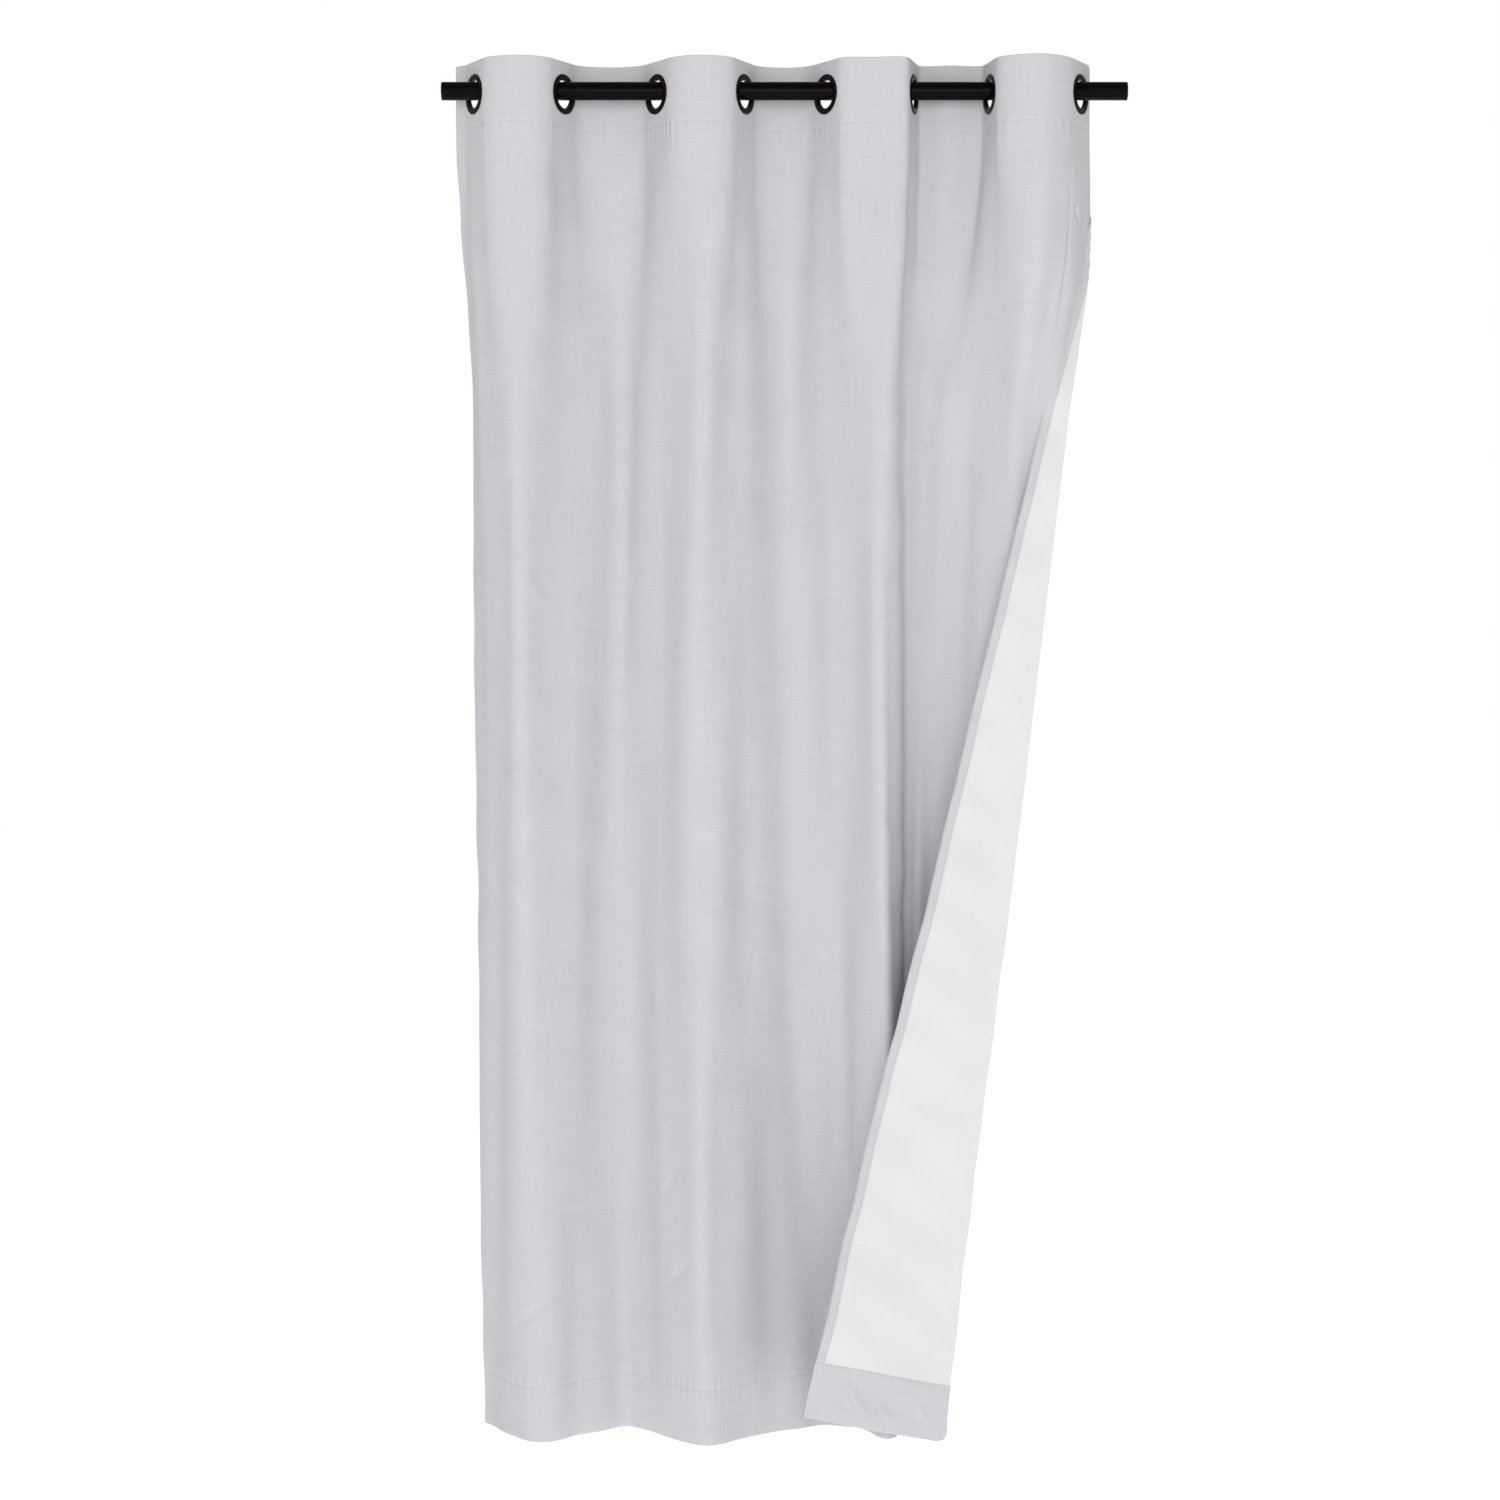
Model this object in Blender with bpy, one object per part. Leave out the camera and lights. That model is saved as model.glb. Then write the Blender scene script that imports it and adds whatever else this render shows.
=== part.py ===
"""Eyelet curtain panel on its rod, with one lower corner turned over to show the lining.

The frame's origin is the middle of the left rod end, +X runs along the rod, +Z is up, and the room is at -Y.
The cloth is described by fold lines that run from the heading to the hem. Each has a place in plan at three
heights: the heading, the shoulder where the stiff heading has let go, and the hem. Every layer of the panel
is an offset of that one surface. The panel is cut at its fold crests into pleats, which turn on the rod as a
concertina: pleats 1 to 6 gather, the leading pleats slide, and the corner flap turns about its crease.
"""

import math

import bpy
from mathutils import Matrix, Vector

# Flat panel, as cut and sewn.
PANEL_WIDTH = 1.3208
PANEL_LENGTH = 2.1336
HEADER_DEPTH = 0.1016
HEM_DEPTH = 0.089
SIDE_HEM_WIDTH = 0.013
END_MARGIN = 0.057  # from a side edge to the nearest grommet's centre
GROMMET_COUNT = 8
GROMMET_DROP = 0.050  # from the top edge to the grommets' centres

# Layers, from the room side to the window side.
FACE_THICKNESS = 0.0006
LINING_THICKNESS = 0.0005
STIFFENER_THICKNESS = 0.0005
BAND_THICKNESS = 0.0006
LAYER_GAP = 0.0003
LINING_TUCK = 0.013  # how far the lining runs up behind the header band
EDGE_INSET = 0.0015  # how far hidden layers stay inside the cloth's edge

# Grommets and rod.
ROD_DIAMETER = 0.028
ROD_WALL = 0.0012
ROD_OVERHANG_LEFT = 0.0512  # past the first grommet's centre
ROD_OVERHANG_RIGHT = 0.0728  # past the last grommet's centre
CAP_THICKNESS = 0.002
CAP_PLUG_LENGTH = 0.012
GROMMET_BORE = 0.043
GROMMET_OUTER = 0.061
SHANK_WALL = 0.0009
FLANGE_HEIGHT = 0.0020
WASHER_HEIGHT = 0.0015
FIT_GAP = 0.0003
RING_SIDES = 24
ROD_SIDES = 32

# How the panel hangs. Plan sizes are in pitches, the flat distance between two grommets.
PITCH = (PANEL_WIDTH - 2 * END_MARGIN) / (GROMMET_COUNT - 1)
GAPS = (0.787, 0.835, 0.779, 0.733, 0.772, 0.689, 0.798)  # hung distance between neighbouring grommets
CROSSING = (61, 60, 56, 63, 57, 75, 77, 62)  # degrees between each grommet and the rod
SHOULDER_DROP = 0.55
GATHERING_GROMMETS = 6  # the grommets that turn as the panel is gathered
CREST_SPLIT = 0.0005  # half the slit between two pleats
SPLIT_CLEARANCE = 0.0055  # between the last gathering grommet's flange and the slit before the leading pleats

# Corner flap: the lower right corner, turned over to the room side about a straight crease.
APEX_DROP = 0.22
FLAP_BASE = 0.230
FLAP_TOP_DROP = 0.46
FLAP_STAND_OFF = 12.0  # degrees that the flap stands forward of the panel's plane
FLAP_SPLIT = 0.001
CREASE_GAP = 0.0002  # between the panel's face and the crease's axis


def grommet_places():
    """X of each grommet's centre on the rod."""
    places = [ROD_OVERHANG_LEFT]
    for gap in GAPS:
        places.append(places[-1] + gap * PITCH)
    return places


GROMMET_X = grommet_places()
ROD_LENGTH = GROMMET_X[-1] + ROD_OVERHANG_RIGHT

# Fold lines: x away from the line's own place at the heading, and y, in pitches. A line is a side edge
# (L, R), a grommet (G), a crest towards the room (F) or towards the window (B). The heading has y alone.
HEADING_Y = {"L": 0.26, "F1": -0.30, "B1": 0.28, "F2": -0.30, "B2": 0.29,
             "F3": -0.21, "B3": 0.19, "F4": -0.37, "R": 0.25}
SHOULDER = {"L": (0.13, 0.29), "G1": (0.08, 0.01), "F1": (-0.01, -0.31), "G2": (0.03, -0.01),
            "B1": (0.06, 0.28), "G3": (0.01, 0.00), "F2": (0.01, -0.31), "G4": (0.01, -0.02),
            "B2": (0.02, 0.29), "G5": (0.03, 0.03), "F3": (0.08, -0.30), "G6": (-0.09, -0.04),
            "B3": (-0.20, 0.12), "G7": (-0.16, 0.03), "F4": (-0.18, -0.19), "G8": (-0.29, -0.205),
            "R": (-0.23, -0.19)}
HEM = {"L": (0.20, 0.40), "G1": (0.21, 0.12), "F1": (0.12, -0.24), "G2": (0.12, 0.00),
       "B1": (0.12, 0.29), "G3": (0.06, -0.03), "F2": (0.03, -0.34), "G4": (0.08, -0.03),
       "B2": (0.17, 0.25), "G5": (0.25, 0.29), "F3": (0.165, -0.12), "G6": (-0.11, 0.20),
       "B3": (-0.31, 0.22), "G7": (-0.55, 0.24), "F4": (-0.90, 0.10), "G8": (-1.23, -0.02),
       "R": (-1.30, -0.235)}
STEEP = {"G6": 86.0}  # degrees, where a fold turns back sharply below the heading


def fold_lines():
    """(name, s, x) of each fold line: its distance along the flat panel and its x at the heading."""
    lines = [("L", 0.0, GROMMET_X[0] - 0.19 * PITCH)]
    for i, x in enumerate(GROMMET_X):
        s = END_MARGIN + i * PITCH
        lines.append((f"G{i + 1}", s, x))
        if i + 1 < GROMMET_COUNT:
            side = "F" if i % 2 == 0 else "B"
            lines.append((f"{side}{i // 2 + 1}", s + PITCH / 2, (x + GROMMET_X[i + 1]) / 2))
    lines.append(("R", PANEL_WIDTH, GROMMET_X[-1] + 0.11 * PITCH))
    return lines


LINES = fold_lines()
LINE_S = {name: s for name, s, _ in LINES}
LINE_X = {name: x for name, _, x in LINES}


def direction(degrees):
    """Unit plan vector at an angle from the rod."""
    return Vector((math.cos(math.radians(degrees)), math.sin(math.radians(degrees))))


def least_crossing(bore, reach, rod):
    """Least angle in degrees between cloth and rod at which a grommet this deep still clears the rod."""
    return math.degrees(math.asin(rod / math.hypot(bore, reach)) + math.atan2(reach, bore))


STACK = FACE_THICKNESS + STIFFENER_THICKNESS + BAND_THICKNESS + 2 * LAYER_GAP
FRONT = -STACK / 2
BORE_REACH = STACK / 2 + FIT_GAP + WASHER_HEIGHT  # from the cloth's middle to the end of a grommet's bore
BORE_RADIUS = GROMMET_BORE / 2 * math.cos(math.pi / RING_SIDES)
ROD_RADIUS = ROD_DIAMETER / 2 + FIT_GAP
LEAST_CROSSING = least_crossing(BORE_RADIUS, BORE_REACH, ROD_RADIUS)
CROSSINGS = [max(angle, LEAST_CROSSING) for angle in CROSSING]


def crossing_angle(i):
    """Signed plan angle of the cloth at grommet i: odd ones run forwards, even ones back."""
    return -CROSSINGS[i] if i % 2 == 0 else CROSSINGS[i]


def heading_knots():
    """(s, place, tangent) along the heading. The cloth is straight across each grommet."""
    half = GROMMET_OUTER / 2 + FIT_GAP
    knots = []
    for name, s, x in LINES:
        if name[0] == "G":
            along = direction(crossing_angle(int(name[1:]) - 1))
            for side in (-half, half):
                knots.append((s + side, Vector((x, 0)) + along * side, along))
        else:
            edge = {"L": direction(-55), "R": direction(60)}
            knots.append((s, Vector((x, HEADING_Y[name] * PITCH)), edge.get(name, direction(0))))
    return knots


def free_knots(table):
    """(s, place, tangent) at a height where the cloth hangs free, with tangents from the neighbours."""
    at = [(s, Vector((x + table[name][0] * PITCH, table[name][1] * PITCH)), name) for name, s, x in LINES]
    knots = []
    for i, (s, place, name) in enumerate(at):
        before, after = at[max(i - 1, 0)], at[min(i + 1, len(at) - 1)]
        tangent = (after[1] - before[1]) / (after[0] - before[0])
        if name in STEEP:
            tangent = direction(STEEP[name])
        knots.append((s, place, tangent))
    return knots


HEADING_KNOTS = heading_knots()
SHOULDER_KNOTS = free_knots(SHOULDER)
HEM_KNOTS = free_knots(HEM)


def along_knots(knots, s):
    """Point and slope of the cubic through the knots, at distance s along the flat panel."""
    i = 0
    while i < len(knots) - 2 and s > knots[i + 1][0]:
        i += 1
    (s0, p0, t0), (s1, p1, t1) = knots[i], knots[i + 1]
    h = s1 - s0
    t = (s - s0) / h
    point = (p0 * (1 + 2 * t) * (1 - t) ** 2 + t0 * h * t * (1 - t) ** 2
             + p1 * t * t * (3 - 2 * t) + t1 * h * t * t * (t - 1))
    slope = ((p1 - p0) * 6 * t * (1 - t) / h + t0 * (1 - t) * (1 - 3 * t) + t1 * t * (3 * t - 2))
    return point, slope


def ease(t):
    """0 to 1 with level ends."""
    t = min(max(t, 0.0), 1.0)
    return t * t * (3 - 2 * t)


def cloth(s, drop, depth=0.0):
    """Point of the panel at distance s along its width and drop below its top, depth behind its middle."""
    let_go = ease((drop - HEADER_DEPTH) / (SHOULDER_DROP - HEADER_DEPTH))
    down = (drop - SHOULDER_DROP) / (PANEL_LENGTH - SHOULDER_DROP)
    heading, shoulder, hem = (along_knots(k, s) for k in (HEADING_KNOTS, SHOULDER_KNOTS, HEM_KNOTS))
    point, slope = (
        heading[i] * (1 - let_go) + (shoulder[i] * (1 - down) + hem[i] * down) * let_go for i in (0, 1)
    )
    back = Vector((-slope.y, slope.x)).normalized()
    place = point + back * depth
    return Vector((place.x, place.y, TOP_Z - drop))


def grommet_sag():
    """How far a grommet's centre hangs below the rod's: the lowest place where no bore binds on the rod."""
    sags = []
    for angle in map(math.radians, CROSSINGS):
        half = BORE_RADIUS * math.sin(angle) - BORE_REACH * math.cos(angle)
        play = (BORE_RADIUS**2 - half**2) * (1 - (ROD_RADIUS / half) ** 2)
        sags.append(math.sqrt(max(0.0, play)))
    return min(*sags, BORE_RADIUS - ROD_RADIUS)


TOP_Z = GROMMET_DROP - grommet_sag()


def clear_scene():
    for obj in list(bpy.data.objects):
        bpy.data.objects.remove(obj)


def material(name, colour, roughness, metallic=0.0):
    made = bpy.data.materials.new(name)
    made.use_nodes = True
    shader = made.node_tree.nodes["Principled BSDF"]
    shader.inputs["Base Color"].default_value = (*colour, 1)
    shader.inputs["Roughness"].default_value = roughness
    shader.inputs["Metallic"].default_value = metallic
    return made


def add_object(name, points, faces, finish):
    mesh = bpy.data.meshes.new(name)
    mesh.from_pydata([tuple(p) for p in points], [], faces)
    mesh.materials.append(finish)
    obj = bpy.data.objects.new(name, mesh)
    bpy.context.scene.collection.objects.link(obj)
    return obj


def slab(name, front, back, finish):
    """Closed sheet between two grids of points: rows run down and columns run to the right."""
    rows, columns = len(front), len(front[0])
    points = [p for row in front for p in row] + [p for row in back for p in row]
    behind = rows * columns
    faces = []

    def quad(a, b, c, d):
        faces.extend(((a, b, c), (a, c, d)))

    for k in range(rows - 1):
        for j in range(columns - 1):
            a, b = k * columns + j, (k + 1) * columns + j
            c, d = b + 1, a + 1
            quad(a, b, c, d)
            faces.extend(((a + behind, c + behind, b + behind), (a + behind, d + behind, c + behind)))
    ring = [k * columns for k in range(rows - 1)]
    ring += [(rows - 1) * columns + j for j in range(columns - 1)]
    ring += [k * columns + columns - 1 for k in range(rows - 1, 0, -1)]
    ring += list(range(columns - 1, 0, -1))
    for i, a in enumerate(ring):
        b = ring[(i + 1) % len(ring)]
        quad(b, a, a + behind, b + behind)
    return add_object(name, points, faces, finish)


def steps(stops, parts):
    """The stops with the given number of equal parts between each two."""
    made = [stops[0]]
    for a, b in zip(stops, stops[1:]):
        made += [a + (b - a) * (i + 1) / parts for i in range(parts)]
    return made


def columns_between(s0, s1):
    """Distances along the width for a layer's columns: the heading's knots, and stops between them."""
    every = steps([k[0] for k in HEADING_KNOTS[1:-1]], 2)
    for side in (EDGE_INSET, EDGE_INSET + SIDE_HEM_WIDTH):
        every = [side, *every, PANEL_WIDTH - CREST_SPLIT - side]
    every = sorted(every)
    least = 0.001
    return [s0, *[s for s in every if s0 + least < s < s1 - least], s1]


ROW_DROPS = sorted([
    0.0,
    HEADER_DEPTH - LINING_TUCK,
    *steps([HEADER_DEPTH, APEX_DROP], 1),
    *steps([APEX_DROP, SHOULDER_DROP], 3)[1:],
    *steps([SHOULDER_DROP, PANEL_LENGTH - HEM_DEPTH], 4)[1:],
    PANEL_LENGTH,
])


def rows_between(drop0, drop1):
    least = 0.004
    return [drop0, *[d for d in ROW_DROPS if drop0 + least < d < drop1 - least], drop1]


def layer(name, s0, s1, drop0, drop1, depth, thickness, finish):
    """One layer of the panel between two places along the width and two drops."""
    columns, rows = columns_between(s0, s1), rows_between(drop0, drop1)
    front, back = (
        [[cloth(s, drop, d) for s in columns] for drop in rows] for d in (depth, depth + thickness)
    )
    return slab(name, front, back, finish)


def punch(obj, cutter):
    cut = obj.modifiers.new(f"hole_{cutter.name}", "BOOLEAN")
    cut.operation = "DIFFERENCE"
    cut.solver = "EXACT"
    cut.object = cutter


def turned(name, profile, sides, finish):
    """Ring turned about local Z from a closed profile of (radius, height) points, counterclockwise."""
    points, faces = [], []
    for i in range(sides):
        angle = 2 * math.pi * i / sides
        points += [Vector((r * math.cos(angle), r * math.sin(angle), z)) for r, z in profile]
    n = len(profile)
    for i in range(sides):
        here, there = i * n, (i + 1) % sides * n
        for j in range(n):
            k = (j + 1) % n
            faces.append((here + j, there + j, there + k, here + k))
    obj = add_object(name, points, faces, finish)
    obj.data.shade_smooth()
    obj.data.set_sharp_from_angle(angle=math.radians(40))
    return obj


def disc(name, outline, sides, finish):
    """Solid turned about local Z from an outline that starts and ends on the axis."""
    points = [Vector((0, 0, outline[0][1])), Vector((0, 0, outline[-1][1]))]
    rims = outline[1:-1]
    for i in range(sides):
        angle = 2 * math.pi * i / sides
        points += [Vector((r * math.cos(angle), r * math.sin(angle), z)) for r, z in rims]
    n = len(rims)
    faces = []
    for i in range(sides):
        here, there = 2 + i * n, 2 + (i + 1) % sides * n
        faces += [(0, there, here), (1, here + n - 1, there + n - 1)]
        faces += [(here + j, there + j, there + j + 1, here + j + 1) for j in range(n - 1)]
    return add_object(name, points, faces, finish)


def seat(i):
    """Matrix that puts a ring, turned about Z, on grommet i. Its Z points out of the cloth into the room."""
    along = direction(crossing_angle(i))
    x_axis, y_axis = Vector((along.x, along.y, 0)), Vector((0, 0, 1))
    z_axis = x_axis.cross(y_axis)
    turn = Matrix((x_axis, y_axis, z_axis)).transposed().to_4x4()
    return Matrix.Translation((GROMMET_X[i], 0, TOP_Z - GROMMET_DROP)) @ turn


def grommet(i, metal):
    """Front ring with its shank, the washer that it is pressed into, and the cutter for their hole."""
    bore, outer = GROMMET_BORE / 2, GROMMET_OUTER / 2
    shank = bore + SHANK_WALL
    seat_z = -FRONT + FIT_GAP
    crown, lip = seat_z + FLANGE_HEIGHT, seat_z + 0.4 * FLANGE_HEIGHT
    tail = FRONT - FIT_GAP - WASHER_HEIGHT
    crest = (bore + outer) / 2
    front = [(bore, tail), (shank, tail), (shank, seat_z), (outer, seat_z), (outer, lip),
             (crest + 0.3 * (outer - crest), crown), (crest - 0.3 * (crest - bore), crown), (bore, lip)]
    inner = shank + FIT_GAP
    under = FRONT - FIT_GAP
    washer = [(inner, tail), (inner + 0.7 * (outer - inner), tail), (outer, tail + 0.5 * WASHER_HEIGHT),
              (outer, under), (inner, under)]
    rings = [
        turned(f"grommet_front_{i + 1}", front, RING_SIDES, metal),
        turned(f"grommet_washer_{i + 1}", washer, RING_SIDES, metal),
    ]
    radius = shank + FIT_GAP + 0.0004
    reach = 4 * STACK
    tool = disc(f"grommet_hole_{i + 1}", [(0, -reach), (radius, -reach), (radius, reach), (0, reach)],
                RING_SIDES, metal)
    tool.hide_render = True
    tool.display_type = "WIRE"
    for obj in (*rings, tool):
        obj.matrix_world = seat(i)
    return tool, rings


def pleat_bounds():
    """(name, s0, s1, grommet indexes) of the strips of cloth that move as one, from left to right."""
    bounds = []
    start = 0.0
    for i in range(GATHERING_GROMMETS - 1):
        crest = END_MARGIN + (i + 0.5) * PITCH
        bounds.append((f"pleat_{i + 1}", start, crest - CREST_SPLIT, [i]))
        start = crest + CREST_SPLIT
    last = GATHERING_GROMMETS - 1
    split = END_MARGIN + last * PITCH + GROMMET_OUTER / 2 + SPLIT_CLEARANCE
    bounds.append((f"pleat_{last + 1}", start, split - CREST_SPLIT, [last]))
    rest = list(range(GATHERING_GROMMETS, GROMMET_COUNT))
    bounds.append(("leading", split + CREST_SPLIT, PANEL_WIDTH - CREST_SPLIT, rest))
    return bounds


def crease_line():
    """Two points on the crease, upper then lower, just in front of the panel's edge and inside the fold."""
    in_front = Vector((0, FRONT - CREASE_GAP, 0))
    return tuple(cloth(PANEL_WIDTH, drop) + in_front for drop in (SHOULDER_DROP, PANEL_LENGTH))


def flap_width(drop):
    return FLAP_BASE * (drop - APEX_DROP) / (PANEL_LENGTH - APEX_DROP)


def turn_flap():
    """Matrix that turns the flat corner about the crease, through the room, onto the panel."""
    upper, lower = crease_line()
    angle = -math.radians(180 - FLAP_STAND_OFF)
    return Matrix.Translation(lower) @ Matrix.Rotation(angle, 4, upper - lower) @ Matrix.Translation(-lower)


def flap_layer(name, q_of, drop0, drop1, depth, thickness, finish):
    """A layer of the corner flap. q_of gives its inner and outer distance from the crease at a drop."""
    upper, lower = crease_line()
    turn = turn_flap()
    grids = []
    for d in (depth, depth + thickness):
        grid = []
        for drop in rows_between(drop0, drop1):
            share = (drop - SHOULDER_DROP) / (PANEL_LENGTH - SHOULDER_DROP)
            crease = upper.lerp(lower, share)
            inner, outer = q_of(drop)
            qs = (inner, (inner + outer) / 2, outer)
            grid.append([turn @ (crease + Vector((q, d - FRONT + CREASE_GAP, 0))) for q in qs])
        grids.append(grid)
    return slab(name, *grids, finish)


def fold_axis(name):
    """Place of the vertical line that two pleats turn about, just inside their crest at all heights."""
    depths = [HEADING_Y[name] * PITCH, SHOULDER[name][1] * PITCH, HEM[name][1] * PITCH]
    inside = STACK / 2 + FIT_GAP
    depth = max(depths) + inside if name[0] == "F" else min(depths) - inside
    return Vector((LINE_X[name], depth, 0))


def pivot(name, place):
    """Empty on a joint's axis, which carries what the joint moves."""
    made = bpy.data.objects.new(name, None)
    made.empty_display_size = 0.05
    made.location = place
    bpy.context.scene.collection.objects.link(made)
    return made


def hang_on(obj, parent):
    """Parents the object without moving it."""
    obj.parent = parent
    obj.matrix_parent_inverse = Matrix.Translation(-parent.location)


def add_pivots(moved):
    """Puts each moving body's pieces on its joint's axis. moved lists the objects of each body."""
    crests = [name for name, _, _ in LINES if name[0] in "FB"]
    places = {f"pleat_{i + 1}": fold_axis(crests[i]) for i in range(GATHERING_GROMMETS - 1)}
    places[f"pleat_{GATHERING_GROMMETS}"] = Vector((GROMMET_X[GATHERING_GROMMETS - 1], 0, 0))
    places["leading"] = Vector((GROMMET_X[GATHERING_GROMMETS], 0, 0))
    places["corner_flap"] = crease_line()[1]
    for name, place in places.items():
        carrier = pivot(f"{name}_axis", place)
        for obj in moved[name]:
            hang_on(obj, carrier)


def build_rod(metal, plastic):
    outer, inner = ROD_DIAMETER / 2, ROD_DIAMETER / 2 - ROD_WALL
    start, end = CAP_THICKNESS + FIT_GAP, ROD_LENGTH - CAP_THICKNESS - FIT_GAP
    along_x = Matrix.Rotation(math.radians(90), 4, "Y")
    section = [(inner, start), (outer, start), (outer, end), (inner, end)]
    tube = turned("curtain_rod", section, ROD_SIDES, metal)
    tube.matrix_world = along_x
    plug = inner - FIT_GAP
    outline = [(0, 0), (outer, 0), (outer, CAP_THICKNESS), (plug, CAP_THICKNESS),
               (plug, CAP_THICKNESS + CAP_PLUG_LENGTH), (0, CAP_THICKNESS + CAP_PLUG_LENGTH)]
    disc("rod_end_cap_left", outline, ROD_SIDES, plastic).matrix_world = along_x
    away = Matrix.Translation((ROD_LENGTH, 0, 0)) @ Matrix.Rotation(math.radians(-90), 4, "Y")
    disc("rod_end_cap_right", outline, ROD_SIDES, plastic).matrix_world = away


def build_pleats(grommets, fabric, lining, buckram):
    """The face cloth, its lining and what is sewn behind them, strip by strip. Returns what each carries."""
    second = FRONT + FACE_THICKNESS + LAYER_GAP
    third = second + STIFFENER_THICKNESS + LAYER_GAP
    header_end, hem_start = HEADER_DEPTH, PANEL_LENGTH - HEM_DEPTH
    tuck = HEADER_DEPTH - LINING_TUCK
    moved = {}
    for name, s0, s1, own in pleat_bounds():
        left = s0 + EDGE_INSET if name == "pleat_1" else s0
        right = s1 - EDGE_INSET if name == "leading" else s1
        punched = [
            layer(f"face_{name}", s0, s1, 0, PANEL_LENGTH, FRONT, FACE_THICKNESS, fabric),
            layer(f"header_stiffener_{name}", left, right, EDGE_INSET, tuck - LAYER_GAP, second,
                  STIFFENER_THICKNESS, buckram),
            layer(f"header_band_{name}", left, right, EDGE_INSET, header_end, third, BAND_THICKNESS, fabric),
        ]
        for i in own:
            tool, _ = grommets[i]
            for obj in punched:
                punch(obj, tool)
        moved[name] = punched + [piece for i in own for piece in (grommets[i][0], *grommets[i][1])]
        low = PANEL_LENGTH - EDGE_INSET
        moved[name] += [
            layer(f"lining_{name}", left, right, tuck, low, second, LINING_THICKNESS, lining),
            layer(f"bottom_hem_{name}", left, right, hem_start, low, third, BAND_THICKNESS, fabric),
        ]
    below, above = header_end + LAYER_GAP, hem_start - LAYER_GAP
    left, right = EDGE_INSET, PANEL_WIDTH - CREST_SPLIT - EDGE_INSET
    for name, side, s0, end in (
        ("left", "pleat_1", left, above), ("leading", "leading", right - SIDE_HEM_WIDTH, APEX_DROP)
    ):
        moved[side].append(
            layer(f"side_hem_{name}", s0, s0 + SIDE_HEM_WIDTH, below, end, third, BAND_THICKNESS, fabric))
    return moved


def build_flap(fabric, lining):
    """The turned-over corner, whose lining side faces the room. Returns its pieces."""
    second = FRONT + FACE_THICKNESS + LAYER_GAP
    third = second + STIFFENER_THICKNESS + LAYER_GAP
    hem_start = PANEL_LENGTH - HEM_DEPTH
    top = FLAP_TOP_DROP
    low = PANEL_LENGTH - EDGE_INSET

    def whole(drop):
        return FLAP_SPLIT, flap_width(drop)

    def inside(drop):
        return FLAP_SPLIT, flap_width(drop) - EDGE_INSET

    def hem_strip(drop):
        outer = flap_width(drop) - EDGE_INSET
        return outer - SIDE_HEM_WIDTH, outer

    above = hem_start - LAYER_GAP
    return [
        flap_layer("face_flap", whole, top, PANEL_LENGTH, FRONT, FACE_THICKNESS, fabric),
        flap_layer("lining_flap", inside, top + EDGE_INSET, low, second, LINING_THICKNESS, lining),
        flap_layer("bottom_hem_flap", inside, hem_start, low, third, BAND_THICKNESS, fabric),
        flap_layer("side_hem_flap", hem_strip, top + EDGE_INSET, above, third, BAND_THICKNESS, fabric),
    ]


def main():
    clear_scene()
    fabric = material("face_cotton", (0.60, 0.59, 0.63), 0.9)
    lining = material("thermal_lining", (0.82, 0.82, 0.83), 0.7)
    buckram = material("buckram", (0.80, 0.80, 0.78), 0.9)
    metal = material("dark_bronze", (0.012, 0.010, 0.009), 0.25, 1.0)
    plastic = material("cap_plastic", (0.010, 0.009, 0.009), 0.4)
    build_rod(metal, plastic)
    grommets = [grommet(i, metal) for i in range(GROMMET_COUNT)]
    moved = build_pleats(grommets, fabric, lining, buckram)
    moved["corner_flap"] = build_flap(fabric, lining)
    add_pivots(moved)


main()
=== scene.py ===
import math

import bpy
import numpy as np
from mathutils import Matrix, Vector


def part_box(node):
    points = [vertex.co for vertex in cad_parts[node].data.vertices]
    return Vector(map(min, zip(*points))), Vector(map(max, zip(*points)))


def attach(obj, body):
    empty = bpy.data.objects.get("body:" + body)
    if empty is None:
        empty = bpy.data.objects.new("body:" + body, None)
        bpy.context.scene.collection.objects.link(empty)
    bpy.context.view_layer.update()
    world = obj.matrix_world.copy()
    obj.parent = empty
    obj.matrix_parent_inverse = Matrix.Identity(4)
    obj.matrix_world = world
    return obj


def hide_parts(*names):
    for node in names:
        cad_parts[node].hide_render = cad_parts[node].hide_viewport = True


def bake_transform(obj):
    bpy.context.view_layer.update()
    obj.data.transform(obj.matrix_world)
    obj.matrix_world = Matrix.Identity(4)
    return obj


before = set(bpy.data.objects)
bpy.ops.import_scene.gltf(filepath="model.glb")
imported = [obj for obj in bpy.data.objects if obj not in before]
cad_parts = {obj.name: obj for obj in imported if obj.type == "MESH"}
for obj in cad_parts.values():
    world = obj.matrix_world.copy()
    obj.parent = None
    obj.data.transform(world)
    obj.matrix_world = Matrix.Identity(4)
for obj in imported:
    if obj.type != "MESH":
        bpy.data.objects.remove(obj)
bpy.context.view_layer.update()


# The camera stands in front of the middle of the panel and looks a little down.
camera = bpy.data.objects.new("camera", bpy.data.cameras.new("camera"))
camera.data.lens = 69.5
camera.data.sensor_width = 36
camera.location = (0.474, -4.49, -0.823)
camera.rotation_euler = (math.radians(90 - 2.43), 0, 0)
bpy.context.scene.collection.objects.link(camera)
bpy.context.scene.camera = camera


# The rod is one straight steel tube, drawn and then coated in satin black enamel with a brown cast. It runs
# through every grommet, and its two open ends take the caps.
def add_node(tree, kind, feeds=(), **settings):
    """A shader or geometry node. feeds holds (input, socket or value) pairs."""
    node = tree.nodes.new(kind)
    for key, value in settings.items():
        setattr(node, key, value)
    for key, value in feeds:
        if isinstance(value, bpy.types.NodeSocket):
            tree.links.new(value, node.inputs[key])
        else:
            node.inputs[key].default_value = value
    return node


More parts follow.
